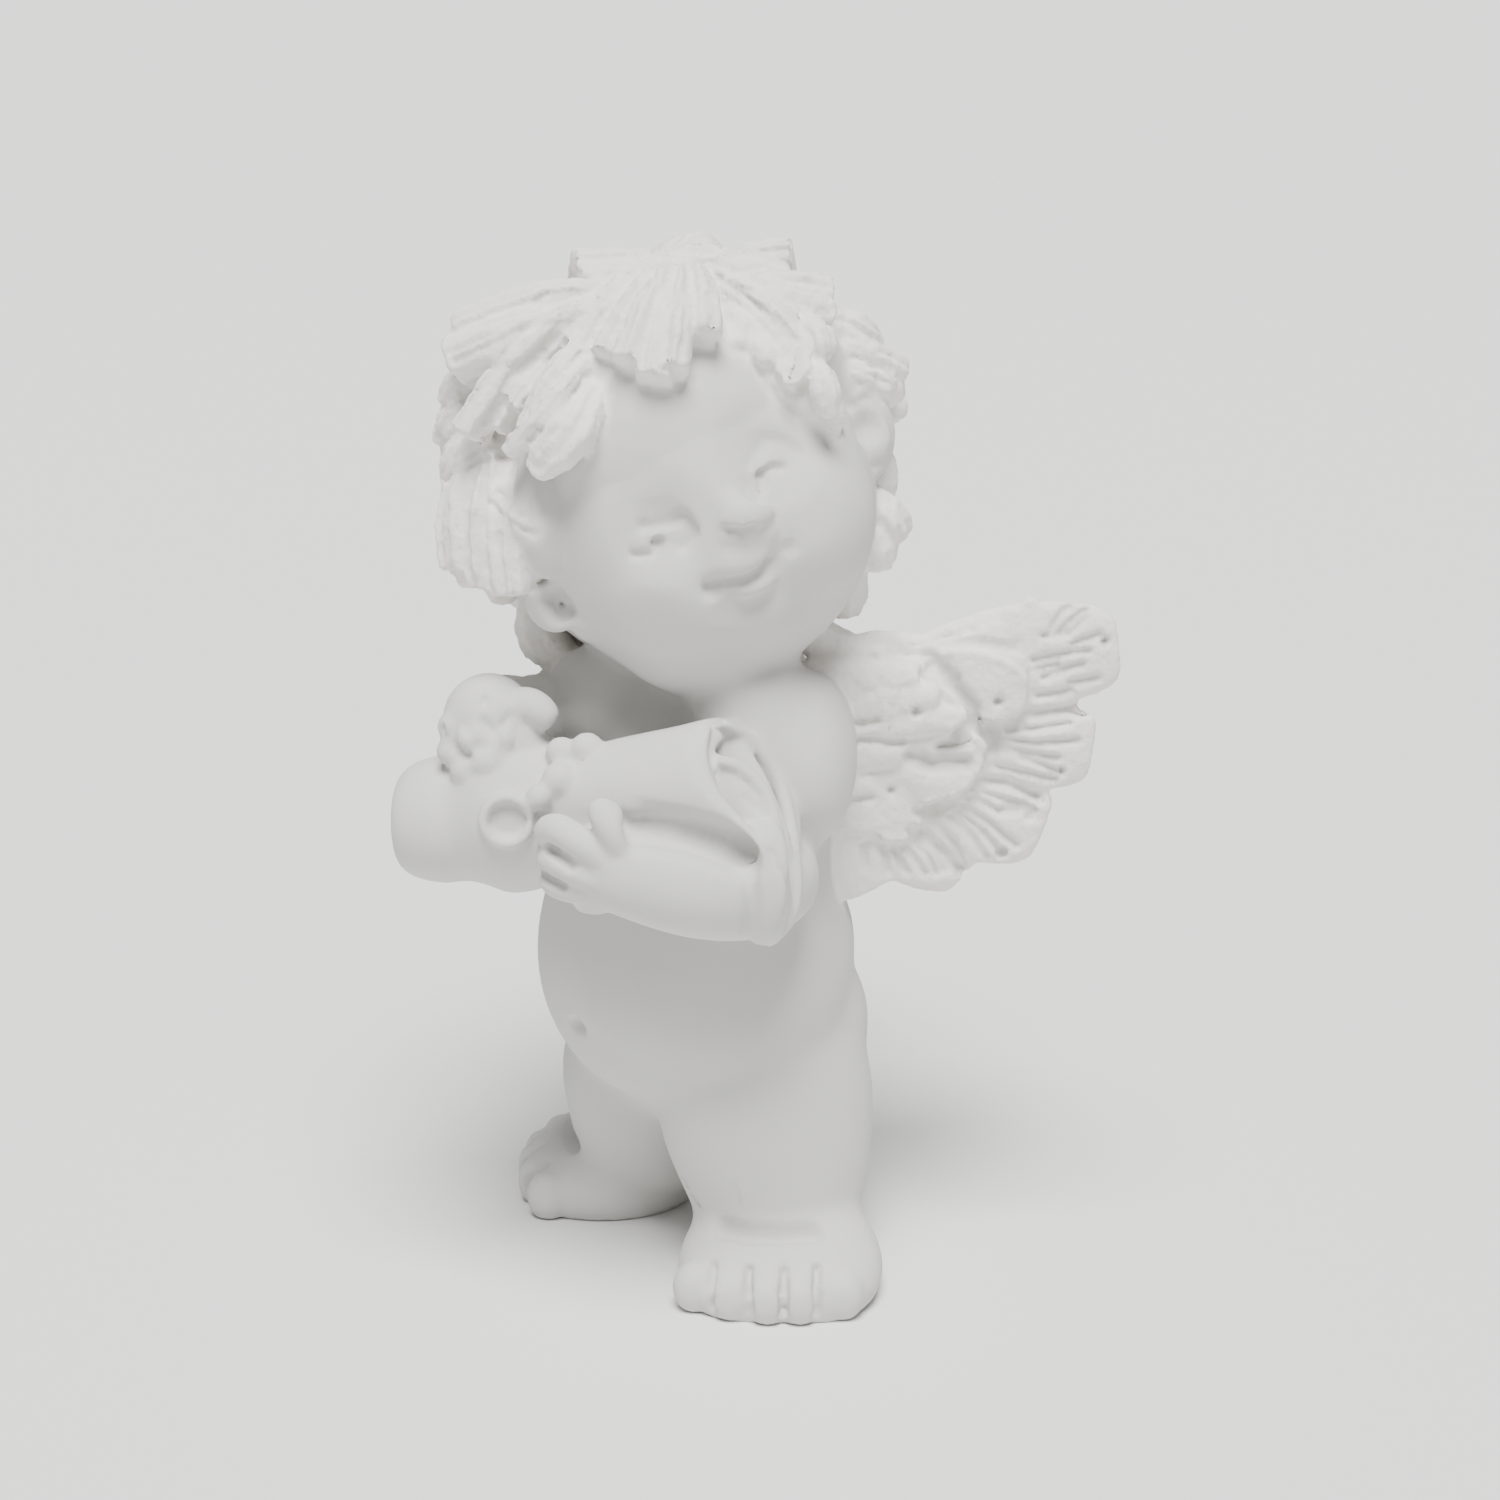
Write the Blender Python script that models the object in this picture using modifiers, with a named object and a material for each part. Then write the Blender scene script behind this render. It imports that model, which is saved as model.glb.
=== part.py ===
"""Angel figurine: a chubby standing cherub hugging a rolled scroll, cast in one piece of plaster.

Every place below is given in hundredths of the figure's height and turned to metres by UNIT,
so the whole figure follows HEIGHT. The body faces -Y, its left side is +X, its soles stand on
Z = 0. The head has a frame of its own: places on it are longitude (towards the angel's left),
latitude (towards the crown) and distance from the middle of the head. The arms, the scroll and
the wings are placed in an upright frame that is turned as the wings are: out, height, forwards.
"""
import bpy
import numpy as np
from math import acos, atan2, copysign, cos, pi, radians, sin
from mathutils import Vector
from mathutils.bvhtree import BVHTree

HEIGHT = 0.100            # driving size: the whole figure, soles to the top of the hair
TOP = 100.85              # the same height in the shares used below
UNIT = HEIGHT / TOP
PLAN_SHIFT = (0.0, 0.27)  # moves the figure so that its plan is centred over the origin
NODE = "angel_figurine"

SOFT_VOXEL = 0.62         # grid for the smooth masses, in hundredths of the height
CRISP_VOXEL = 0.44        # grid once locks, feathers, fingers and toes are joined on
SOFT_PASSES = 26          # smoothing passes that melt the masses into one skin
CRISP_PASSES = 1          # light smoothing after the crisp parts are joined
FACE_PASSES = 3           # a little more on the face and the hands
TRIANGLES = 9400          # facets left for the solid
CARE_SPOTS = 1.0          # how much dearer a facet is near the spots named in main
FINENESS = 0.6            # spacing of the places along a carving stroke

HEAD_CENTRE = np.array([1.6, -1.2, 75.9])
HEAD_AZIMUTH = 56         # the face looks this far round to the angel's left
HEAD_LIFT = 15.5          # and this far up
HEAD_ROLL = 25            # and the crown leans towards the angel's right shoulder
SKIN = 17.6               # carving on the face is aimed at this distance from its middle

WING_AZIMUTH = 50         # the wings sweep out and back in this upright plane
WING_SET = 1.5            # the wing plane's offset towards its front face

FOOT_AHEAD = np.array([0.735, -0.678, 0.0])   # the way the left foot points
FOOT_BESIDE = np.array([0.678, 0.735, 0.0])
FOOT_MIDDLE = np.array([11.0, 1.2, 0.0])
STRIDE = 1.2              # the left foot stands this far ahead of the middle, the right behind
TOE_RADIUS = 2.2


# Frames

def unit(vector):
    vector = np.asarray(vector, float)
    return vector / np.linalg.norm(vector)


def head_axes():
    azimuth, lift, roll = radians(HEAD_AZIMUTH), radians(HEAD_LIFT), radians(HEAD_ROLL)
    ahead = np.array([sin(azimuth) * cos(lift), -cos(azimuth) * cos(lift), sin(lift)])
    level = np.array([cos(azimuth), sin(azimuth), 0.0])
    upright = np.cross(ahead, level)
    return ahead, level * cos(roll) + upright * sin(roll), upright * cos(roll) - level * sin(roll)


AHEAD, LEFT, CROWN = head_axes()
WING_AWAY = np.array([cos(radians(WING_AZIMUTH)), sin(radians(WING_AZIMUTH)), 0.0])
WING_FRONT = np.array([sin(radians(WING_AZIMUTH)), -cos(radians(WING_AZIMUTH)), 0.0])


def on_head(longitude, latitude, distance):
    across, above = radians(longitude), radians(latitude)
    direction = AHEAD * cos(across) * cos(above) + LEFT * sin(across) * cos(above) + CROWN * sin(above)
    return HEAD_CENTRE + direction * distance


def on_front(out, height, toward):
    return WING_AWAY * out + WING_FRONT * toward + np.array([0.0, 0.0, height])


def along_front(places):
    return [on_front(*place) for place in places]


def on_wing(out, height, lift=0.0):
    return on_front(out, height, WING_SET + lift)


def on_foot(side, across, ahead, height):
    place = FOOT_MIDDLE + FOOT_BESIDE * across + FOOT_AHEAD * ahead + (0.0, 0.0, height)
    return place * (side, 1, 1) + WING_FRONT * STRIDE * side


# Shaping tools

def smooth_path(points, count):
    """Count places along a smooth curve through the points."""
    points = np.array(points, float)
    padded = np.vstack([2 * points[0] - points[1], points, 2 * points[-1] - points[-2]])
    spans = len(points) - 1
    places = []
    for step in range(count + 1):
        along = (1 - cos(pi * step / count)) / 2 * spans
        span = min(int(along), spans - 1)
        t = along - span
        a, b, c, d = padded[span:span + 4]
        places.append(0.5 * (2 * b + (c - a) * t + (2 * a - 5 * b + 4 * c - d) * t ** 2
                             + (3 * b - a - 3 * c + d) * t ** 3))
    return np.array(places)


def form(name, path, sizes, facing=(0, 0, 1), around=16, along=12, ends=(0.5, 0.5), ridges=(0, 0.0),
         square=1.0):
    """A ball drawn out along a path.

    sizes are half-widths across and along the facing direction, ends are how blunt each end is
    (1 is a plain ball, 0 is cut square), ridges are how many grooves run the length and how deep,
    square below 1 makes the section boxy.
    """
    bpy.ops.object.select_all(action="DESELECT")
    bpy.ops.mesh.primitive_uv_sphere_add(segments=around, ring_count=along)
    piece = bpy.context.object
    piece.name = name
    spine = smooth_path(path, along)
    size = smooth_path(sizes, along)
    run = np.gradient(spine, axis=0)
    for vertex in piece.data.vertices:
        ring = round(acos(max(-1.0, min(1.0, vertex.co.z))) / pi * along)
        turn = atan2(vertex.co.y, vertex.co.x)
        tangent = unit(run[ring])
        side = unit(np.cross(tangent, facing))
        over = np.cross(side, tangent)
        swell = 0.0
        if 0 < ring < along:
            swell = sin(pi * ring / along) ** (ends[0] if ring * 2 < along else ends[1])
        if ridges[0]:
            swell *= 1 + ridges[1] * (1 - 2 * abs(sin(ridges[0] * turn / 2)))
        across, above = (copysign(abs(share) ** square, share) for share in (cos(turn), sin(turn)))
        vertex.co = spine[ring] + (side * across * size[ring][0] + over * above * size[ring][1]) * swell
    return piece


def ball(name, centre, radii, spin=0.0):
    bpy.ops.object.select_all(action="DESELECT")
    bpy.ops.mesh.primitive_uv_sphere_add(segments=24, ring_count=16, location=tuple(centre),
                                         rotation=(0.0, 0.0, radians(spin)), scale=tuple(radii))
    piece = bpy.context.object
    piece.name = name
    bpy.ops.object.transform_apply(location=True, rotation=True, scale=True)
    return piece


def mirrored(piece):
    """The same piece on the angel's other side."""
    twin = piece.copy()
    twin.data = piece.data.copy()
    bpy.context.scene.collection.objects.link(twin)
    for vertex in twin.data.vertices:
        vertex.co.x = -vertex.co.x
    twin.data.flip_normals()
    return twin


def cut(body, tool):
    carve = body.modifiers.new("carve", "BOOLEAN")
    carve.operation = "DIFFERENCE"
    carve.solver = "EXACT"
    carve.object = tool
    bpy.context.view_layer.objects.active = body
    bpy.ops.object.modifier_apply(modifier="carve")


def fuse(name, pieces, voxel, passes):
    """Join the pieces and skin them as one closed body."""
    bpy.ops.object.select_all(action="DESELECT")
    for piece in pieces:
        piece.select_set(True)
    bpy.context.view_layer.objects.active = pieces[0]
    bpy.ops.object.join()
    body = bpy.context.object
    body.name = name
    skin = body.modifiers.new("skin", "REMESH")
    skin.mode = "VOXEL"
    skin.voxel_size = voxel
    bpy.ops.object.modifier_apply(modifier="skin")
    if passes:
        soften = body.modifiers.new("soften", "SMOOTH")
        soften.factor = 0.5
        soften.iterations = passes
        bpy.ops.object.modifier_apply(modifier="soften")
    return body


def outer_skin(body):
    """Keep the outer skin alone: small hollows shut in between the locks are filled."""
    name = body.name
    bpy.ops.object.select_all(action="DESELECT")
    body.select_set(True)
    bpy.context.view_layer.objects.active = body
    bpy.ops.object.mode_set(mode="EDIT")
    bpy.ops.mesh.select_all(action="SELECT")
    bpy.ops.mesh.separate(type="LOOSE")
    bpy.ops.object.mode_set(mode="OBJECT")
    shells = list(bpy.context.selected_objects)
    outer = max(shells, key=lambda shell: len(shell.data.polygons))
    for shell in shells:
        if shell != outer:
            bpy.data.objects.remove(shell)
    outer.name = name
    return outer


def soften_near(body, spots, passes):
    """Smooth the skin near the spots, fading out to each spot's reach."""
    group = body.vertex_groups.new(name="soft spots")
    for vertex in body.data.vertices:
        weight = max(min(2 - 2 * (vertex.co - Vector(middle)).length / reach, 1.0) for middle,
                     reach in spots)
        if weight > 0:
            group.add([vertex.index], weight, "REPLACE")
    soften = body.modifiers.new("soften", "SMOOTH")
    soften.factor = 0.5
    soften.iterations = passes
    soften.vertex_group = group.name
    bpy.context.view_layer.objects.active = body
    bpy.ops.object.modifier_apply(modifier="soften")


def settle(tree, path):
    """The path in short steps, each laid on the skin."""
    line = np.array(path, float)
    places = [line[0]]
    for start, end in zip(line[:-1], line[1:]):
        steps = max(1, round(np.linalg.norm(end - start) / FINENESS))
        places += [start + (end - start) * step / steps for step in range(1, steps + 1)]
    return np.array([tree.find_nearest(place)[0] for place in places])


def stroke(body, tree, path, reach, amount):
    """Press (amount below 0) or raise the skin along a path, fading to nothing at reach."""
    mesh = body.data
    count = len(mesh.vertices)
    places = np.empty(count * 3)
    mesh.vertices.foreach_get("co", places)
    places = places.reshape(-1, 3)
    normals = np.empty(count * 3)
    mesh.vertex_normals.foreach_get("vector", normals)
    normals = normals.reshape(-1, 3)
    line = settle(tree, path)
    distance = np.linalg.norm(places - line[0], axis=1)
    for start, end in zip(line[:-1], line[1:]):
        run = end - start
        share = np.clip((places - start) @ run / max(run @ run, 1e-9), 0, 1)
        distance = np.minimum(distance, np.linalg.norm(places - start - share[:, None] * run, axis=1))
    fade = np.clip(1 - (distance / reach) ** 2, 0, 1) ** 2
    places += normals * (fade * amount)[:, None]
    mesh.vertices.foreach_set("co", places.ravel())
    mesh.update()


# Body

def body_masses():
    """Torso, legs, feet, arms and head: the masses that melt into one smooth skin."""
    masses = [form("torso",
                   [(0, 2.0, 13), (0, 1.6, 20), (0, 0.1, 27), (0, -0.8, 33), (0, -0.7, 39),
                    (0, 0.6, 46), (0, 1.6, 52), (0, 2.2, 58), (0, 2.4, 64)],
                   [(13.0, 11.0), (15.0, 13.8), (15.9, 16.2), (15.4, 16.6), (14.0, 14.6),
                    (13.2, 13.0), (12.8, 11.6), (10.0, 9.4), (7.4, 7.2)],
                   facing=(0, -1, 0), around=48, along=32, ends=(0.35, 0.1)),
              form("neck", [(0.2, 2.0, 56), (0.8, 1.0, 66), (1.4, -0.4, 74)],
                   [(7.6, 7.6), (6.8, 6.8), (6.8, 6.8)], facing=(0, -1, 0), around=24)]
    leg = form("leg", [(6.8, 1.3, 25), (7.8, 1.9, 16.5), (9.2, 2.0, 9.5), (10.6, 1.6, 3.5)],
               [(9.0, 13.2), (8.9, 12.0), (8.6, 10.2), (8.7, 9.2)], facing=(0, -1, 0),
               around=32, along=20, ends=(0.4, 0.3))

    feet = [form("foot", [on_foot(side, 0, ahead, height) for ahead,
                          height in ((-5.8, 3.0), (0, 3.0), (6.0, 2.3), (12.0, 1.6))],
                 [(7.8, 6.4), (9.6, 6.4), (10.3, 5.2), (9.8, 4.0)],
                 around=32, along=20, ends=(0.5, 0.34)) for side in (1, -1)]
    shoulder = ball("shoulder", (9.6, 3.6, 52.6), (6.0, 6.0, 6.6))
    buttock = ball("buttock", (5.8, 8.4, 22.6), (7.0, 7.0, 8.0))
    wing_root = form("wing root", [(5.0, 7.4, 50.5), (9.6, 12.0, 53), (14.6, 17.0, 54.5)],
                     [(3.6, 7.6), (2.7, 7.8), (1.7, 6.8)], around=20)
    for half in (leg, shoulder, buttock, wing_root):
        masses += [half, mirrored(half)]
    masses += feet

    masses += [
        form("left upper arm", along_front([(8.6, 60.0, 4.0), (9.8, 55.0, 6.0), (9.6, 49.0, 7.6),
                                            (7.8, 44.4, 8.6)]),
             [(5.0, 7.0), (5.2, 8.0), (5.0, 8.0), (4.0, 5.6)], facing=WING_FRONT, around=28, along=20),
        form("left chest", along_front([(1.0, 62.0, 4.0), (4.6, 58.0, 7.4), (6.0, 51.0, 10.0),
                                        (7.6, 45.4, 11.0)]),
             [(5.4, 5.4), (6.4, 6.4), (6.4, 6.0), (5.0, 5.0)], facing=WING_FRONT, around=28, along=20),
        form("left forearm", along_front([(8.4, 43.2, 10), (7.4, 43.0, 15), (4.6, 44.0, 20),
                                          (0.4, 45.2, 22.2), (-4.4, 46.2, 22.2), (-9.0, 47.0, 21.6),
                                          (-12.4, 47.2, 20.4)]),
             [(5.0, 4.8), (5.0, 4.8), (5.0, 4.8), (5.1, 4.7), (4.9, 4.2), (4.6, 3.4), (4.2, 2.4)],
             facing=WING_FRONT, around=24, along=20),
        form("right shoulder", along_front([(-4.0, 56.0, 1.0), (-10.0, 56.4, 0.6), (-14.0, 55.4, 0.0)]),
             [(5.6, 5.6), (5.4, 5.4), (4.8, 4.8)], facing=WING_FRONT, around=24),
        form("right upper arm", [(-9.8, 3.2, 53), (-13.2, -1.8, 51.2), (-14.6, -7.0, 50.6)],
             [(5.6, 5.6), (5.0, 5.0), (4.6, 4.6)]),
        form("right forearm", [(-14.6, -7.0, 50.8), (-12.2, -13.5, 54.2), (-8.0, -19.5, 57.2)],
             [(4.7, 4.7), (4.2, 4.2), (3.6, 3.8)]),
        ball("right fist", on_front(-20.0, 56.6, 9.8), (4.2, 3.8, 3.7), 25),
        ball("skull", HEAD_CENTRE, (16.8, 16.8, 16.8)),
        ball("cheek right", on_head(-36, -28, 9.2), (9.0, 9.0, 9.0)),
        ball("cheek left", on_head(40, -26, 9.4), (9.2, 9.2, 9.2)),
        ball("chin", on_head(-2, -48, 9.8), (7.6, 7.6, 7.6)),
        ball("jaw", on_head(-62, -56, 9.0), (9.3, 9.3, 9.3)),
        ball("brow", on_head(0, 32, 4.6), (12.6, 12.6, 12.6))]
    return masses


# The rims and laps of the scroll's open end: name, places along each, half-width and half-thickness

LAPS = (
    ("near rim", ((1.4, 59.0, 17.4), (0.6, 57.2, 20.6), (1.2, 54.2, 22.9), (3.4, 51.4, 24.0),
                  (5.4, 48.6, 24.7)), 0.5, 0.6),
    ("outer rim", ((2.2, 59.2, 17.2), (4.6, 56.9, 15.2), (7.1, 53.4, 15.0), (8.3, 49.9, 17),
                   (8.9, 45.6, 20), (8.5, 42.2, 22.2), (6.4, 39.4, 22.2)), 0.75, 0.7),
    ("lap", ((2.0, 56.7, 20.4), (4.1, 55.6, 19.8), (6.2, 53.3, 20.2), (7.4, 49.7, 22.2), (7.8, 45.0, 24.2),
             (7.2, 41.4, 23.8)), 0.7, 0.8),
    ("lap fill", ((2.8, 54.8, 18.6), (4.8, 52.9, 19.6), (6.4, 49.4, 21.4), (7.2, 44.8, 22.8),
                  (7.0, 41.6, 22.4)), 2.5, 1.3),
    ("flap", ((5.6, 51.6, 22.6), (6.4, 49.4, 23.8), (6.5, 46.4, 24.7), (6.4, 42.9, 24.3),
              (6.1, 39.8, 22.6)), 1.9, 0.9),
    ("back wall", ((4.0, 57.0, 14.6), (6.4, 54.0, 13.6), (7.8, 50.0, 15.0), (8.0, 45.0, 17.6),
                   (7.2, 41.6, 19.4)), 1.6, 1.4),
)

SEAL_PLACE = on_front(-17.5, 50.1, 18.2)     # the round seal on the scroll's front
SEAL_OUT = unit(WING_FRONT * 0.98 - WING_AWAY * 0.07 + np.array([0.0, 0.0, 0.16]))
SEAL_ACROSS = unit(np.cross((0, 0, 1), SEAL_OUT))
SEAL_UP = np.cross(SEAL_OUT, SEAL_ACROSS)
SEAL_RADIUS = 2.2
TIE = (("lobe", (-12.6, 55.4, 14.4), 1.5), ("lobe", (-10.2, 55.9, 15.0), 1.6),
       ("knot", (-12.6, 53.6, 17.0), 1.75), ("bead", (-14.5, 52.3, 18.0), 1.25))


def scroll():
    """The rolled scroll held across the chest: stout at one end, open and curling at the other."""
    barrel = form("scroll barrel", along_front([(-28.2, 46.9, 8.8), (-26.4, 47.0, 9.1), (-24.2, 47.2, 9.4),
                                                (-22.0, 47.5, 9.7),
                                                (-18.4, 48.2, 10.2), (-14.4, 48.8, 11.4),
                                                (-9.0, 50.0, 13.8)]),
                  [(5.2, 5.2), (5.8, 5.8), (6.1, 6.1), (6.1, 6.1), (7.8, 7.6), (7.8, 7.6), (6.2, 6.2)],
                  facing=WING_FRONT, around=48, along=32, ends=(0.16, 0.3))
    roll = form("scroll roll", along_front([(-13.0, 49.2, 13.2), (-7.2, 51.0, 15.2), (-1.6, 52.6, 16.8),
                                            (2.4, 53.3, 17.6), (7.4, 53.4, 18.2)]),
                [(6.2, 6.2), (5.9, 6.0), (5.8, 6.0), (6.3, 6.4), (6.6, 6.6)],
                facing=WING_FRONT, around=48, along=32, ends=(0.3, 0.0))
    rim = along_front([(1.2, 58.8, 17.6), (1.4, 54.0, 23.2), (5.2, 48.4, 24.8)])
    bevel = unit(np.cross(rim[1] - rim[0], rim[2] - rim[0]))
    bpy.ops.mesh.primitive_cube_add(size=30.0, location=tuple(rim[1] + bevel * 15.0),
                                    rotation=tuple(Vector(bevel).to_track_quat("Z", "Y").to_euler()))
    slant = bpy.context.object
    hollow = form("scroll hollow", along_front([(1.0, 55.0, 18.2), (3.6, 54.6, 18.4), (7.0, 53.6, 18.4),
                                                (11.0, 53.0, 18.4)]),
                   [(2.6, 2.8), (5.0, 5.0), (5.6, 5.7), (6.0, 6.0)], facing=WING_FRONT, around=32,
                   along=16, ends=(0.4, 0.0))
    for tool in (slant, hollow):
        cut(roll, tool)
        bpy.data.objects.remove(tool)
    made = [barrel, roll]
    for name, arc, width, thick in LAPS:
        made.append(form("scroll " + name, along_front(arc), [(width, thick)] * len(arc),
                         facing=WING_FRONT, around=12, along=32, ends=(0.3, 0.3)))
    ring = [SEAL_PLACE + (SEAL_ACROSS * cos(pi * step / 6) + SEAL_UP * sin(pi * step / 6)) * SEAL_RADIUS
            for step in range(13)]
    made.append(form("seal rim", ring, [(0.6, 0.8)] * 13, facing=SEAL_OUT, around=10, along=30,
                     ends=(0.3, 0.3)))
    made.append(form("seal", [SEAL_PLACE - SEAL_OUT * 2.4, SEAL_PLACE - SEAL_OUT * 0.4],
                     [(SEAL_RADIUS, SEAL_RADIUS)] * 2, facing=SEAL_UP, around=20, along=8,
                     ends=(0.1, 0.05)))
    for name, place, radius in TIE:
        made.append(ball("tie " + name, on_front(*place), (radius, radius, radius)))
    return made


# Hands: places along each finger and its half-width, then the round pads under and between them

HANDS = (
    ("left thumb", ((-5.2, 47.6, 23.4), (-6.9, 50.6, 23.8), (-8.3, 52.9, 22.6)), 1.5),
    ("left first", ((-7.5, 47.4, 23.8), (-10.4, 49.6, 23.2), (-13.0, 50.5, 21.4), (-14.3, 49.0, 20.0)),
     1.5),
    ("left second", ((-8.4, 45.8, 23.8), (-11.9, 47.2, 22.4), (-14.3, 47.3, 20.2)), 1.45),
    ("left third", ((-9.4, 44.6, 22.9), (-12.4, 44.9, 21.4), (-14.0, 45.3, 19.6)), 1.4),
    ("left little", ((-7.6, 43.9, 22.4), (-11.2, 43.2, 20.5)), 1.4),
    ("right thumb", ((-18.0, 58.8, 10.0), (-15.6, 59.3, 11.0), (-13.2, 58.0, 11.4)), 1.9))
PADS = (("left palm", (-8.0, 47.4, 21.8), 2.6), ("left pad", (-9.8, 46.8, 20.7), 3.0),
        ("left pad", (-12.0, 47.2, 18.8), 2.9),
        ("right back", (-19.6, 57.2, 9.6), 4.3), ("right palm", (-20.6, 54.8, 11.0), 3.3),
        ("right heel", (-17.2, 55.2, 10.4), 3.2),
        ("right first", (-17.4, 56.8, 13.4), 1.5), ("right second", (-18.9, 54.6, 14.0), 1.7),
        ("right third", (-21.1, 53.5, 13.6), 1.6),
        ("right little", (-22.7, 54.7, 12.2), 1.4), ("right knuckle", (-20.5, 56.6, 13.4), 1.5),
        ("right knuckle", (-22.2, 56.9, 11.4), 1.5))


def hands():
    made = []
    for name, path, radius in HANDS:
        made.append(form(name, along_front(path), [(radius, radius)] * len(path)))
    for name, place, radius in PADS:
        made.append(ball(name, on_front(*place), (radius, radius, radius)))
    made.append(form("right wrist", along_front([(-19.0, 56.4, 7.0), (-16.4, 55.6, 3.0),
                                                 (-13.8, 54.6, -1.4)]),
                     [(3.0, 3.0), (3.6, 3.6), (4.4, 4.4)], around=20))
    return made


def toes():
    """Five stubby toes on each foot, their tips in a shallow arc."""
    made = []
    for across in (-7.4, -3.7, 0.1, 3.7, 7.0):
        reach = 13.0 - 0.036 * across * across
        for side in (1, -1):
            path = [on_foot(side, across, ahead, TOE_RADIUS) for ahead in (reach - 4, reach)]
            made.append(form("toe", path, [(2.2, 2.6), (2.1, 2.5)], around=12, along=10, ends=(0.6, 0.7)))
    return made


# Nose and lips: places on the head along each, half-widths and half-thicknesses

FACE = (
    ("nose bridge", ((2.0, 5.0, 15.4), (2.2, -1.0, 16.2), (2.4, -6.0, 16.8)),
     ((1.2, 0.8), (1.4, 0.9), (1.5, 1.0))),
    ("nose", ((-5.2, -9.8, 16.0), (-1.6, -8.4, 17.1), (2.4, -8.0, 17.5), (6.2, -8.8, 17.1),
              (9.4, -10.4, 16.0)),
     ((1.1, 0.8), (1.6, 1.1), (1.9, 1.2), (1.6, 1.1), (1.1, 0.8))),
    ("nose foot", ((2.2, -10, 16.4), (1.0, -14, 16.5), (0, -18, 16.2)),
     ((2.2, 1.0), (2.4, 1.1), (2.4, 1.0))),
    ("upper lip", ((-13.5, -19.6, 15.6), (-6, -20.0, 16.6), (1, -20.4, 16.9), (7.6, -20.4, 16.4),
                   (12.0, -19.6, 15.6)),
     ((1.4, 0.9), (2.3, 1.5), (2.5, 1.6), (2.2, 1.3), (1.4, 0.9))),
    ("lower lip", ((-9, -28.8, 16.4), (-3, -30.2, 16.8), (4, -29.2, 16.4)),
     ((0.9, 0.8), (1.3, 1.1), (0.9, 0.8))))

# Ears: places along the shell and the bowl of each, half-width and half-thickness

EARS = (
    ("left ear", ((72, 6, 17.6), (80, 8, 19.4), (84, -4, 19.6), (82, -14, 18.0), (76, -18, 16.0)), 1.0,
     1.3),
    ("left ear bowl", ((74, 4, 16.4), (77, -6, 17.0), (76, -14, 15.6)), 1.8, 0.9),
    ("right ear", ((-71, 1, 16.8), (-80, -5, 18.4), (-78, -12, 18.4), (-70, -16, 17.4)), 1.3, 1.5),
    ("right ear bowl", ((-70, -1, 16.0), (-74, -8, 16.4), (-70, -14, 16.0)), 2.3, 1.4))


def face():
    made = []
    for name, path, sizes in FACE:
        made.append(form(name, [on_head(*place) for place in path], sizes, facing=AHEAD))
    for name, path, width, thick in EARS:
        path = [on_head(*place) for place in path]
        made.append(form(name, path, [(width, thick)] * len(path), facing=AHEAD))
    return made


# Hair: longitude, latitude and distance of the places along each lock, then half-width,
# half-thickness, how blunt the tip is (0 is cut square) and how many grooves run down the lock

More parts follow.
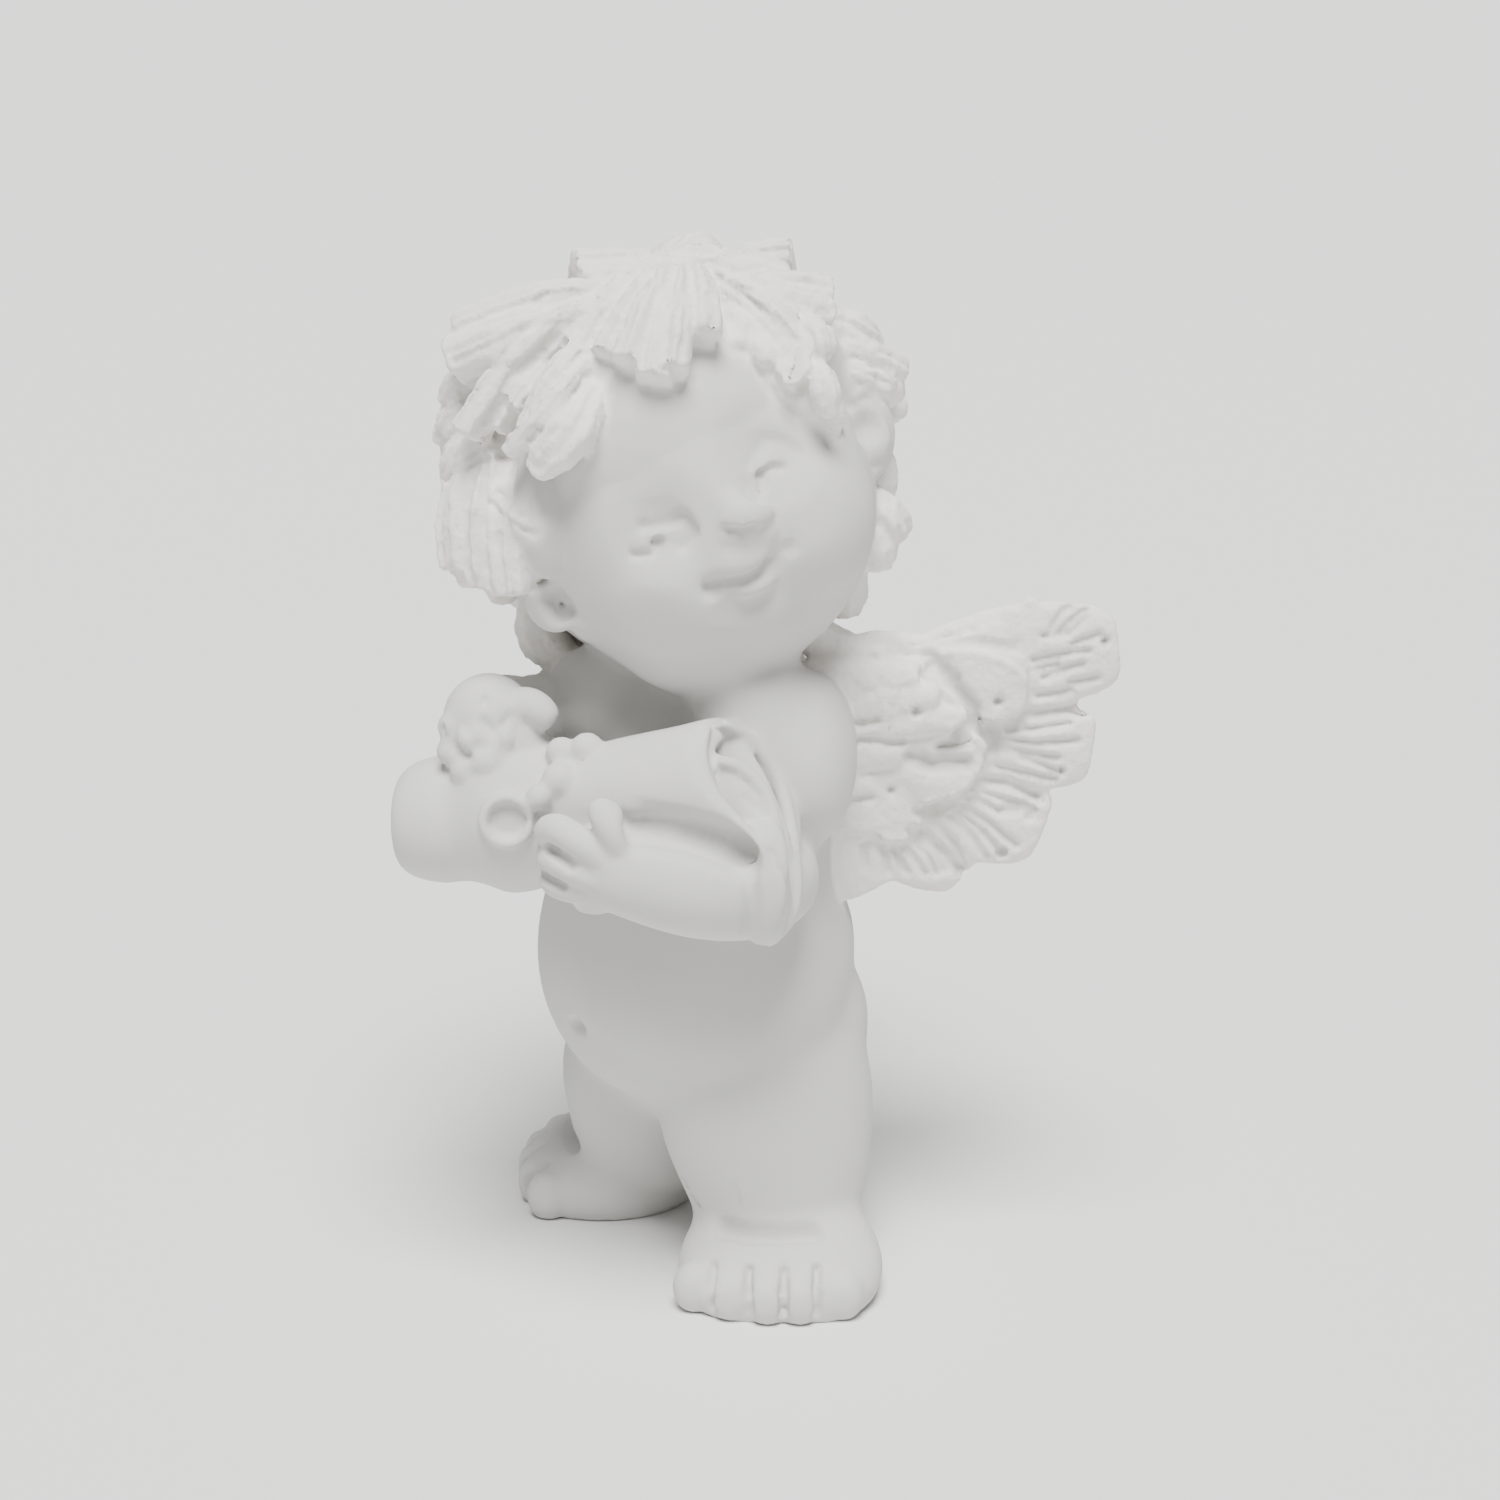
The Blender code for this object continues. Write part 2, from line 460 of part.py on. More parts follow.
FRONT_LOCKS = (
    (((54, 69, 23.0), (11, 58, 22.6), (-12, 49, 20.6)), 1.5, 1.7, 0.0, 2),
    (((56, 68, 22.9), (13, 52, 22.8), (-6, 42, 20.6)), 1.5, 1.8, 0.0, 2),
    (((57, 67, 22.9), (15, 49, 22.8), (-1, 37, 20.6)), 1.5, 1.9, 0.0, 2),
    (((59, 65, 22.8), (18, 47, 22.8), (5, 35, 20.6)), 1.3, 1.9, 0.0, 2),
    (((61, 63, 22.8), (27, 46, 22.6), (20, 39, 21.2)), 1.4, 1.7, 0.0, 2),
    (((51, 71, 23.2), (3, 63, 22.6), (-25, 57, 21.2)), 1.7, 1.7, 0.0, 3),
    (((42, 71, 22.9), (-3, 70, 22.4), (-50, 70, 22.0)), 1.7, 1.9, 0.1, 3),
    (((-18, 52, 20.4), (-32, 40, 22.0), (-50, 32, 22.6)), 1.0, 1.8, 0.2, 3),
    (((-21, 47, 19.2), (-30, 33, 20.4), (-46, 27, 20.8)), 2.1, 1.9, 0.42, 4),
    (((-11, 61, 21.0), (-30, 48, 21.8), (-46, 36, 21.6)), 1.4, 1.6, 0.2, 3),
    (((-6, 63, 23.6), (-40, 57, 23.6), (-65, 39, 24.1)), 1.2, 2.2, 0.05, 3),
    (((-17, 62, 22.6), (-46, 54, 22.0), (-62, 42, 22.0)), 1.4, 1.8, 0.1, 3),
    (((-36, 70, 20.6), (-44, 54, 21.8), (-54, 47, 22.2)), 2.0, 1.8, 0.0, 4),
    (((3, 67, 22.9), (-40, 68, 24.3), (-71, 59, 27.2)), 1.9, 3.2, 0.1, 2),
    (((-26, 63, 23.5), (-50, 59, 24.5), (-69, 55, 26.0)), 2.3, 3.2, 0.0, 2),
    (((67, 62, 21.6), (47, 77, 22.4), (-21, 79, 24.2)), 1.9, 2.6, 0.0, 3),
    (((50, 61, 21.4), (21, 70, 22.0), (-13, 72, 22.8)), 1.8, 2.0, 0.1, 3),
    (((71, 77, 21.6), (77, 66, 22.2), (75, 54, 22.4)), 1.8, 2.2, 0.3, 3),
    (((52, 59, 21.8), (60, 50, 22.4), (64, 40, 23.0)), 2.0, 2.0, 0.2, 3),
    (((72, 63, 21.8), (76, 52, 22.8), (77, 42, 24.4)), 1.4, 2.4, 0.0, 2),
    (((50, 47, 22.4), (57, 39, 22.2), (66, 31, 22.6)), 2.0, 2.4, 0.0, 3),
    (((47, 43, 22.3), (55, 35, 22.0), (63, 28, 21.8)), 1.6, 2.0, 0.1, 2),
    (((59, 60, 21.6), (48, 41, 21.8), (46, 26, 20.6), (35, 18, 19.6)), 1.3, 1.8, 0.45, 3),
    (((51, 56, 21.0), (45, 40, 20.6), (43, 27, 19.8), (36, 22, 19.0)), 1.1, 1.4, 0.5, 2),
    (((54, 51, 19.6), (42, 41, 20.0), (41, 38, 19.4)), 1.5, 1.5, 0.5, 0),
    (((44, 39, 18.8), (39, 31, 19.2), (38, 27, 18.6)), 1.4, 1.4, 0.5, 0),
    (((45, 49, 18.8), (35, 40, 19.0), (34, 37, 18.2)), 1.3, 1.3, 0.5, 0),
    (((42, 56, 17.4), (44, 38, 17.2), (46, 18, 17.2), (55, 2, 16.6)), 2.4, 2.2, 0.5, 0),
    (((55, 31, 21.0), (49, 24, 21.4), (48, 19, 20.6)), 1.8, 2.0, 0.5, 2),
    (((48, 21, 20.0), (42, 13, 20.6), (41, 6, 19.4)), 1.3, 1.6, 0.5, 3),
    (((78, 28, 20.9), (81, 22, 21.2), (87, 15, 21.6)), 2.0, 2.4, 0.3, 2),
    (((75, 22, 19.9), (81, 14, 20.6), (87, 7, 21.8)), 1.4, 2.4, 0.1, 3),
    (((72, 16, 19.0), (79, 10, 19.5), (84, 5, 20.2)), 1.2, 1.8, 0.3, 2),
    (((82, -21, 15.3), (85, -30, 17.4), (88, -36, 19.4)), 1.8, 2.2, 0.4, 3),
    (((81, -30, 15.6), (85, -39, 17.0), (89, -47, 17.8)), 1.8, 2.0, 0.4, 3),
    (((99, -44, 16.9), (112, -54, 18.5), (121, -59, 21.0)), 2.2, 2.6, 0.4, 3),
    (((104, -36, 18.3), (115, -48, 20.1), (123, -55, 23.0)), 2.2, 2.6, 0.4, 3),
    (((-72, 43, 21.4), (-78, 25, 22.6), (-81, 11, 23.0)), 2.1, 2.2, 0.1, 4),
    (((-68, 40, 21.1), (-73, 22, 21.2), (-77, 5, 21.6)), 1.8, 2.2, 0.1, 4),
    (((-66, 36, 19.6), (-69, 17, 19.7), (-73, 1, 20.5)), 1.8, 2.0, 0.1, 5),
    (((-68, 26, 20.0), (-62, 19, 19.2), (-57, 14, 18.0)), 1.3, 1.6, 0.4, 2),
    (((-71, 51, 22.8), (-80, 45, 23.8), (-87, 40, 24.4)), 1.6, 2.4, 0.3, 2),
    (((-69, 43, 21.8), (-78, 38, 22.8), (-84, 32, 23.4)), 1.6, 2.2, 0.3, 2),
    (((-69, 56, 23.8), (-78, 52, 24.6), (-84, 47, 25.0)), 1.6, 2.4, 0.3, 2),
    (((-76, 62, 21.4), (-88, 50, 22.6), (-92, 36, 22.6)), 2.6, 3.0, 0.3, 4),
    (((-84, 40, 19.6), (-92, 22, 21.6), (-94, 6, 21.6)), 2.8, 2.6, 0.3, 4),
)


def lock(name, places, width, thickness, blunt, grooves, toward=1.2):
    """A boxy lock from root to tip; toward turns its broad side from outwards to face forwards."""
    path = [on_head(*place) for place in places]
    facing = unit(unit(path[len(path) // 2] - HEAD_CENTRE) + AHEAD * toward)
    flare = 1.15 if blunt < 0.2 else 0.88
    sizes = [(width * 0.7, thickness * 0.8)] + [(width, thickness)] * (len(path) - 2)
    sizes.append((width * flare, thickness * flare))
    return form(name, path, sizes, facing=facing, around=24, along=12, ends=(0.5, blunt),
                ridges=(grooves * 2, 0.1 if grooves else 0.0), square=0.62)


def side_and_back_locks():
    """Plainer rows of the same chunky locks at the sides and round the unseen back of the head."""
    made = []
    for row, (top, bottom) in enumerate(((64, 40), (44, 18), (24, 2))):
        for step, around in enumerate((-118, -104, 84, 96, 108)):
            sway = 5 * sin(2.1 * step + 1.3 * row)
            places = ((around, top, 18.0), (around + sway, (top + bottom) / 2, 20.6),
                      (around - sway, bottom, 20.6))
            made.append(lock("under lock", places, 3.0, 2.0, 0.3, 3, toward=0.0))
    rows = ((76, 52, 23.4, 8, 3.6), (52, 24, 24.0, 9, 3.4), (26, -4, 23.6, 9, 3.2), (2, -24, 21.4, 8, 3.0),
            (-16, -40, 19.4, 7, 2.8))
    for row, (top, bottom, reach, count, width) in enumerate(rows):
        for step in range(count):
            around = 104 + (136 * (step + 0.5 * (row % 2))) / (count - 0.5)
            sway = 7 * sin(2.4 * step + 1.7 * row)
            lift = 0.9 * sin(1.9 * step + 0.8 * row)
            places = ((around - sway, top, 18.4), (around, (top + bottom) / 2, reach + lift * 0.5),
                      (around + sway, bottom, reach + lift))
            made.append(lock("back lock", places, width, 2.0, 0.2, 4, toward=0.0))
    return made


def hair():
    """The locks, and the padding under them that closes the gaps between them."""
    locks = [lock("lock %d" % number, *entry) for number, entry in enumerate(FRONT_LOCKS)]
    padding = [ball("cap", HEAD_CENTRE - AHEAD * 4.6 + CROWN * 3.2, (18.4, 18.4, 18.4)),
               ball("crown", on_head(0, 80, 7.0), (14.9, 14.9, 14.9)),
               form("side padding", [on_head(-86, 66, 18), on_head(-84, 38, 18.6), on_head(-84, 6, 17.6)],
                    [(4.0, 5.0), (4.4, 5.0), (3.6, 4.4)], facing=AHEAD, around=24, along=16),
               form("temple padding", [on_head(-54, 44, 17.6), on_head(-61, 20, 17.2),
                                       on_head(-68, 0, 16.4)],
                    [(3.0, 3.0), (3.0, 3.0), (2.6, 2.6)], facing=AHEAD, around=24, along=16),
               form("left padding", [on_head(60, 60, 17), on_head(72, 38, 17.4), on_head(86, 8, 16.4),
                                     on_head(92, -24, 14.6)],
                    [(4.0, 4.4), (4.0, 4.4), (3.4, 4.0), (3.0, 3.4)], facing=AHEAD, around=24, along=16),
               form("fringe padding", [on_head(-40, 56, 17.2), on_head(0, 58, 18.0), on_head(36, 52, 17.6)],
                    [(3.0, 2.4), (3.6, 2.4), (3.0, 2.2)], facing=AHEAD, around=24, along=16)]
    return locks + side_and_back_locks() + padding


# Wings: out from the body's middle, height and lift off the wing plane, then half-widths along
# each feather, its half-thickness and how blunt its tip is

FEATHERS = (
    ("arm", ((9, 64.0, 0), (17, 59.8, 0.3), (24, 61.4, 0.2), (31, 64.2, 0)), (2.8, 2.4, 2.2, 1.8), 1.7,
     0.36),
    ("plate", ((8, 54, 0), (18, 52.5, 0), (30, 53, 0)), (10.5, 11.0, 9.6), 1.2, 0.3),
    ("long 1", ((17, 57.5, -0.2), (29, 60.6, -0.1), (40.0, 61.9, 0.2)), (4.0, 5.2, 5.4), 1.2, 0.4),
    ("long 2", ((16, 53.5, 0.1), (28, 53.0, 0.1), (37.8, 51.8, 0.3)), (4.0, 5.4, 4.9), 1.2, 0.34),
    ("long 3", ((14, 50, 0.2), (24, 46.8, 0.2), (33.2, 43.4, 0.2)), (4.0, 5.8, 5.2), 1.2, 0.36),
    ("long 4", ((10, 50, 0), (14.6, 44.5, 0.1), (18.4, 38.2, 0.1)), (5.0, 6.8, 6.6), 1.2, 0.3),
    ("long 5", ((12, 50, 0.1), (19.6, 44.5, 0.1), (26.2, 39.4, 0.1)), (5.0, 6.0, 4.8), 1.1, 0.34),
    ("covert 1", ((19, 58.4, 1.0), (26, 58.4, 1.6), (31.7, 57.8, 1.5)), (3.4, 4.2, 3.9), 1.1, 0.42),
    ("covert 2", ((16.6, 53.6, 1.0), (22.0, 51.4, 1.7), (27.2, 49.0, 1.5)), (3.2, 4.4, 3.8), 1.1, 0.42),
    ("covert 3", ((12, 50.4, 1.0), (16.6, 47.2, 1.3), (21.2, 43.6, 1.1)), (3.4, 4.2, 3.6), 1.1, 0.42),
    ("row 1", ((9, 58.6, 1.6), (15, 59.4, 2.4), (20.8, 59.6, 2.3)), (3.0, 2.0, 1.5), 1.3, 0.2),
    ("row 2", ((10, 56.6, 1.6), (17, 57.2, 2.5), (22.8, 57.8, 2.4)), (3.0, 2.1, 1.4), 1.3, 0.2),
    ("row 3", ((10, 54.4, 1.5), (18, 55.2, 2.4), (25.8, 55.6, 2.2)), (2.6, 2.0, 1.3), 1.2, 0.3),
    ("row 4", ((10, 51.0, 1.4), (16, 52.4, 2.1), (20.8, 52.0, 1.8)), (2.8, 2.2, 1.5), 1.2, 0.3),
    ("row 5", ((10, 48.4, 1.2), (13.6, 48.8, 1.7), (17.0, 48.6, 1.6)), (2.2, 1.8, 1.4), 1.2, 0.3),
    ("crumb 1", ((28.4, 63.4, 0.2), (29.4, 65.0, 0.2), (29.8, 65.9, 0.2)), (1.0, 1.0, 0.8), 0.9, 0.3),
    ("crumb 2", ((30.8, 64.2, 0), (31.4, 66.0, 0), (31.5, 66.9, 0)), (0.8, 0.8, 0.5), 0.7, 0.3),
)


def wings():
    """One wing in its own plane, and the same wing mirrored."""
    made = []
    for name, places, widths, thickness, blunt in FEATHERS:
        feather = form("feather " + name, [on_wing(*place) for place in places],
                       [(width, thickness) for width in widths],
                       facing=WING_FRONT, around=20, along=16, ends=(0.5, blunt), square=0.8)
        made += [feather, mirrored(feather)]
    return made


# Carving on the finished skin

EYES = (
    # socket, lid, deep inner corner, crease, lash line, pit
    ((-20.5, 4.0), (-24.5, 2.4), (-14.4, 3.4), ((-26, 8.6), (-20, 8.8), (-15.4, 5.8), (-13.0, 1.4),
                                                (-14, -3)),
     ((-30, -3.0), (-25.5, -2.8), (-21, -3.2), (-17, -3.6), (-14, -3.6)), (-21.6, -3.4)),
    ((19.5, 8.0), (20.4, 5.8), (10.2, 3.2), ((10.6, 4), (12.0, 8.8), (16.5, 12.4), (23, 11.8), (28, 7.0)),
     ((10.5, -1.0), (14, 0.0), (18, 0.4), (23, 1.8), (28.4, 3.6)), (18.0, 0.2)))


def carve_face(body, tree):
    def face_stroke(path, reach, amount):
        stroke(body, tree, [on_head(*place, SKIN) for place in path], reach, amount)

    for socket, lid, corner, crease, lash, pit in EYES:
        face_stroke([socket], 6.0, -1.3)
        face_stroke([lid], 3.2, 1.1)
        face_stroke([corner], 2.6, -1.0)
        face_stroke(crease, 1.3, -0.8)
        face_stroke(lash, 1.2, -0.7)
        face_stroke([pit], 1.5, -0.7)
    smile = ((-14.4, -21.8), (-12.4, -24.2), (-8.5, -26.2), (-3, -26.8), (4, -26.2), (8.5, -24.8),
             (11.4, -23.2))
    face_stroke(smile, 1.3, -0.9)
    face_stroke([(-14.6, -22.6)], 1.7, -0.6)
    face_stroke([(15.4, -20.8)], 1.7, -0.6)
    face_stroke([(-2, -35)], 2.4, -0.4)


def carve_body(body, tree):
    """Navel, belly fold, the gaps between the left hand's fingers and those between the toes."""
    stroke(body, tree, [on_front(-12.6, 26.2, 11)], 1.5, -1.0)
    stroke(body, tree, along_front([(-13.2, 25.6, 12), (-9.6, 22.2, 16), (-5.5, 20.2, 18)]), 2.2, -0.45)
    for gap in (((-13.2, 48.5, 21.8), (-11.2, 47.1, 22.8)), ((-14.0, 46.0, 20.8), (-11.9, 45.3, 22.0))):
        stroke(body, tree, along_front(gap), 1.0, -0.8)
    for across in (-5.5, -1.8, 1.9, 5.4):
        for side in (1, -1):
            groove = [on_foot(side, across, ahead, up) for ahead, up in ((12.6, 5.0), (13.6, 4.2))]
            stroke(body, tree, groove, 1.1, -0.7)


# Grooves between the main feathers, out and height along each

SPLITS = (((28.0, 54.6), (31.5, 55.3), (34.1, 55.7), (37.2, 56.2)),
          ((25.5, 48.8), (29.9, 47.6), (33.4, 46.4)),
          ((20.5, 44.0), (23.5, 41.4), (25.6, 39.0)))


def carve_wings(body, tree):
    for side in (1, -1):
        for path in SPLITS:
            for lift in (1.6, -1.6):
                stroke(body, tree, [on_wing(*place, lift) * (side, 1, 1) for place in path], 1.3, -0.8)


def lay_flat(body):
    """Cut the soles flat on the floor plane."""
    bpy.ops.object.select_all(action="DESELECT")
    bpy.ops.mesh.primitive_cube_add(size=120, location=(0, 0, -60))
    cutter = bpy.context.object
    cutter.name = "floor cutter"
    cut(body, cutter)
    return cutter


def thin_out(body):
    """Thin the skin to the facets it is allowed, keeping more of them where the small forms are."""
    spots = [(on_head(0, -8, 17), 13.0), (on_foot(1, 0, 12, 2.5), 10.0), (on_foot(-1, 0, 12, 2.5), 10.0),
             (on_front(-9.0, 47.0, 22.0), 7.0), (SEAL_PLACE, 3.5)]
    group = body.vertex_groups.new(name="plain")
    for vertex in body.data.vertices:
        away = min((vertex.co - Vector(spot)).length / reach for spot, reach in spots)
        group.add([vertex.index], min(away, 1.0) ** 2, "REPLACE")
    thin = body.modifiers.new("thin", "DECIMATE")
    thin.ratio = TRIANGLES / (2 * len(body.data.polygons))
    thin.vertex_group = group.name
    thin.vertex_group_factor = CARE_SPOTS
    bpy.context.view_layer.objects.active = body
    bpy.ops.object.modifier_apply(modifier="thin")


def plaster():
    material = bpy.data.materials.new("plaster")
    material.use_nodes = True
    shader = material.node_tree.nodes["Principled BSDF"]
    shader.inputs["Base Color"].default_value = (0.80, 0.79, 0.77, 1.0)
    shader.inputs["Roughness"].default_value = 0.85
    return material


def main():
    for thing in list(bpy.data.objects):
        bpy.data.objects.remove(thing)
    home = bpy.data.collections.new("angel figurine")
    guides = bpy.data.collections.new("cutters")
    bpy.context.scene.collection.children.link(home)
    bpy.context.scene.collection.children.link(guides)
    guides.hide_render = True

    figure = fuse(NODE, body_masses(), SOFT_VOXEL, SOFT_PASSES)
    crisp = scroll() + hands() + toes() + face() + hair() + wings()
    figure = outer_skin(fuse(NODE, [figure] + crisp, CRISP_VOXEL, CRISP_PASSES))
    soften_near(figure, [(on_head(0, -14, 17.0), 11.0), (on_front(-9.0, 47.0, 22.0), 9.0),
                         (on_front(-19.0, 56.5, 11.0), 8.0), (on_front(5.0, 47.0, 22.0), 8.0)], FACE_PASSES)
    tree = BVHTree.FromObject(figure, bpy.context.evaluated_depsgraph_get())
    carve_face(figure, tree)
    carve_body(figure, tree)
    carve_wings(figure, tree)
    thin_out(figure)
    cutter = lay_flat(figure)

    for piece in (figure, cutter):
        for vertex in piece.data.vertices:
            vertex.co = (vertex.co + Vector((*PLAN_SHIFT, 0.0))) * UNIT
        for owner in list(piece.users_collection):
            owner.objects.unlink(piece)
    home.objects.link(figure)
    guides.objects.link(cutter)
    cutter.hide_render = True
    cutter.display_type = "WIRE"
    figure.name = NODE
    figure.data.materials.clear()
    figure.data.materials.append(plaster())


main()
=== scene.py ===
# %% [markdown]
# A small plaster angel: a chubby cherub with a tilted, curly head, short feathered wings and a
# rolled scroll hugged across its chest. It is one casting, so it is built here as one piece:
# simple closed forms are drawn out along paths, melted together on a fine grid, carved with soft
# strokes and thinned.

# %% Load the frame and measure it
import bpy
import numpy as np
from math import acos, atan2, copysign, cos, pi, radians, sin
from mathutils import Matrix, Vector, noise


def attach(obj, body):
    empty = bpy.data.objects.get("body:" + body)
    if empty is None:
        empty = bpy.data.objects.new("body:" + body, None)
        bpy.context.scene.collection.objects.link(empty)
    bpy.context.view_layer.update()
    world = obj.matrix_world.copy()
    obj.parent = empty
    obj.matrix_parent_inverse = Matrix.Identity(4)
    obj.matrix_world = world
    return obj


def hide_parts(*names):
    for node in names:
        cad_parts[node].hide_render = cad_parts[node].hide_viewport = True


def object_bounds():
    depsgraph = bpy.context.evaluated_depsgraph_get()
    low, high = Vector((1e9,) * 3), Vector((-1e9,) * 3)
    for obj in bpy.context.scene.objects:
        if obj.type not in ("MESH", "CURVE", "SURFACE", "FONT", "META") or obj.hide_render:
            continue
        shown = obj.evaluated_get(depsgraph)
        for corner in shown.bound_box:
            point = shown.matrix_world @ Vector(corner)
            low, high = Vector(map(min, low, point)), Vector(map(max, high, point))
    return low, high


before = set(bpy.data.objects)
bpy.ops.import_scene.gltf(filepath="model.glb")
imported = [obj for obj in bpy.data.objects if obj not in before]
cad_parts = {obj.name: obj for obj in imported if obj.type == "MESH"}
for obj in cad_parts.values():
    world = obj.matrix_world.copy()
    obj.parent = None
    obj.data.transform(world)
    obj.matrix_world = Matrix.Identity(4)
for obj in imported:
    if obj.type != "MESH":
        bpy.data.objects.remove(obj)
CAD_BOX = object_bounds()

# %% [markdown]
# Everything is sized from the figure's height. Places are given in hundredths of it, so a number
# such as 76 reads as "76 hundredths of the way up". The body faces -Y, its left side is +X. The
# grid sizes decide how fine the carving can be: the smooth body needs less than the hair does.

# %% Driving sizes
HEIGHT = 0.100            # metres, soles to the top of the hair
TOP = 100.85              # the same height in the shares used below
UNIT = HEIGHT / TOP
PLAN_SHIFT = (0.0, 0.27)  # moves the plan so it is centred over the origin
SOFT_VOXEL = 0.5          # grid for the smooth masses
CRISP_VOXEL = 0.3         # grid once locks, feathers, fingers and toes are joined on
SOFT_PASSES = 40          # smoothing passes that melt the masses into one skin
TRIANGLES = 192000        # triangles left at the end
print("one share is", round(UNIT * 1000, 4), "mm")

# %% [markdown]
# The head is turned, lifted and leaned, so it gets a frame of its own. A place on it is given
# like a place on a globe: longitude towards the angel's left ear, latitude towards the crown and
# distance from the middle. Eyes, mouth and locks can then be placed as if the head were upright.

# %% The head's frame and the wings' frame
HEAD_CENTRE = np.array([1.6, -1.2, 75.9])
HEAD_AZIMUTH = 56         # the face looks this far round to the angel's left
HEAD_LIFT = 15.5          # and this far up
HEAD_ROLL = 25            # the crown leans towards the angel's right shoulder
WING_AZIMUTH = 50         # the wings sweep out and back in this upright plane
WING_SET = 1.5


def unit(vector):
    vector = np.asarray(vector, float)
    return vector / np.linalg.norm(vector)


def head_axes():
    azimuth, lift, roll = radians(HEAD_AZIMUTH), radians(HEAD_LIFT), radians(HEAD_ROLL)
    ahead = np.array([sin(azimuth) * cos(lift), -cos(azimuth) * cos(lift), sin(lift)])
    level = np.array([cos(azimuth), sin(azimuth), 0.0])
    upright = np.cross(ahead, level)
    return ahead, level * cos(roll) + upright * sin(roll), upright * cos(roll) - level * sin(roll)


AHEAD, LEFT, CROWN = head_axes()


def on_head(longitude, latitude, distance):
    across, above = radians(longitude), radians(latitude)
    direction = AHEAD * cos(across) * cos(above) + LEFT * sin(across) * cos(above) + CROWN * sin(above)
    return HEAD_CENTRE + direction * distance


WING_AWAY = np.array([cos(radians(WING_AZIMUTH)), sin(radians(WING_AZIMUTH)), 0.0])
WING_FRONT = np.array([sin(radians(WING_AZIMUTH)), -cos(radians(WING_AZIMUTH)), 0.0])


def on_front(out, height, toward):
    return WING_AWAY * out + WING_FRONT * toward + np.array([0.0, 0.0, height])


def along_front(places):
    return [on_front(*place) for place in places]


def on_wing(out, height, lift=0.0):
    return on_front(out, height, WING_SET + lift)


print("tip of the nose is near", on_head(2, -9, 18).round(1))

# %% [markdown]
# Nearly every form is the same move: take a ball, space its rings along a smooth path and give
# each ring its own half-width and half-thickness. A blunt end makes a cut lock, a round end makes
# a toe, and ridges round the section make the gouge marks that run down carved hair.

# %% The drawn-out ball
def smooth_path(points, count):
    points = np.array(points, float)
    padded = np.vstack([2 * points[0] - points[1], points, 2 * points[-1] - points[-2]])
    spans = len(points) - 1
    places = []
    for step in range(count + 1):
        along = (1 - cos(pi * step / count)) / 2 * spans
        span = min(int(along), spans - 1)
        t = along - span
        a, b, c, d = padded[span:span + 4]
        places.append(0.5 * (2 * b + (c - a) * t + (2 * a - 5 * b + 4 * c - d) * t ** 2
                             + (3 * b - a - 3 * c + d) * t ** 3))
    return np.array(places)


def form(name, path, sizes, facing=(0, 0, 1), around=16, along=12, ends=(0.5, 0.5), ridges=(0, 0.0),
         square=1.0):
    bpy.ops.object.select_all(action="DESELECT")
    bpy.ops.mesh.primitive_uv_sphere_add(segments=around, ring_count=along)
    piece = bpy.context.object
    piece.name = name
    spine = smooth_path(path, along)
    size = smooth_path(sizes, along)
    run = np.gradient(spine, axis=0)
    for vertex in piece.data.vertices:
        ring = round(acos(max(-1.0, min(1.0, vertex.co.z))) / pi * along)
        turn = atan2(vertex.co.y, vertex.co.x)
        tangent = unit(run[ring])
        side = unit(np.cross(tangent, facing))
        over = np.cross(side, tangent)
        swell = 0.0
        if 0 < ring < along:
            swell = sin(pi * ring / along) ** (ends[0] if ring * 2 < along else ends[1])
        if ridges[0]:
            swell *= 1 + ridges[1] * (1 - 2 * abs(sin(ridges[0] * turn / 2)))
        across, above = (copysign(abs(share) ** square, share) for share in (cos(turn), sin(turn)))
        vertex.co = spine[ring] + (side * across * size[ring][0] + over * above * size[ring][1]) * swell
    return piece


def ball(name, centre, radii, spin=0.0):
    bpy.ops.object.select_all(action="DESELECT")
    bpy.ops.mesh.primitive_uv_sphere_add(segments=32, ring_count=20, location=tuple(centre),
                                         rotation=(0.0, 0.0, radians(spin)), scale=tuple(radii))
    piece = bpy.context.object
    piece.name = name
    bpy.ops.object.transform_apply(location=True, rotation=True, scale=True)
    return piece


def mirrored(piece):
    twin = piece.copy()
    twin.data = piece.data.copy()
    bpy.context.scene.collection.objects.link(twin)
    for vertex in twin.data.vertices:
        vertex.co.x = -vertex.co.x
    twin.data.flip_normals()
    return twin


print("a form is a uv sphere whose rings follow a path")

# %% [markdown]
# The torso is one form up the middle, wide at the belly and narrow at the neck. Legs, feet and
# buttocks are made once and mirrored. These masses overlap generously, because the next step
# melts them together and needs something to melt.

# %% Torso, legs and feet
masses = [form("torso",
               [(0, 2.0, 13), (0, 1.6, 20), (0, 0.1, 27), (0, -0.8, 33), (0, -0.7, 39),
                (0, 0.6, 46), (0, 1.6, 52), (0, 2.2, 58), (0, 2.4, 64)],
               [(13.0, 11.0), (15.0, 14.0), (15.7, 16.2), (14.8, 16.2), (13.4, 14.2),
                (12.9, 12.8), (12.8, 11.6), (10.0, 9.4), (7.4, 7.2)],
               facing=(0, -1, 0), around=48, along=32, ends=(0.35, 0.1)),
          form("neck", [(0.2, 2.0, 56), (0.8, 1.0, 66), (1.4, -0.4, 74)],
               [(7.6, 7.6), (6.8, 6.8), (6.8, 6.8)], facing=(0, -1, 0), around=24)]
leg = form("leg", [(6.8, 1.3, 25), (7.8, 1.9, 16.5), (9.2, 2.0, 9.5), (10.6, 1.6, 3.5)],
           [(9.0, 13.2), (8.9, 12.0), (8.6, 10.2), (8.7, 9.2)], facing=(0, -1, 0),
           around=32, along=20, ends=(0.4, 0.3))
FOOT_AHEAD = np.array([0.735, -0.678, 0.0])
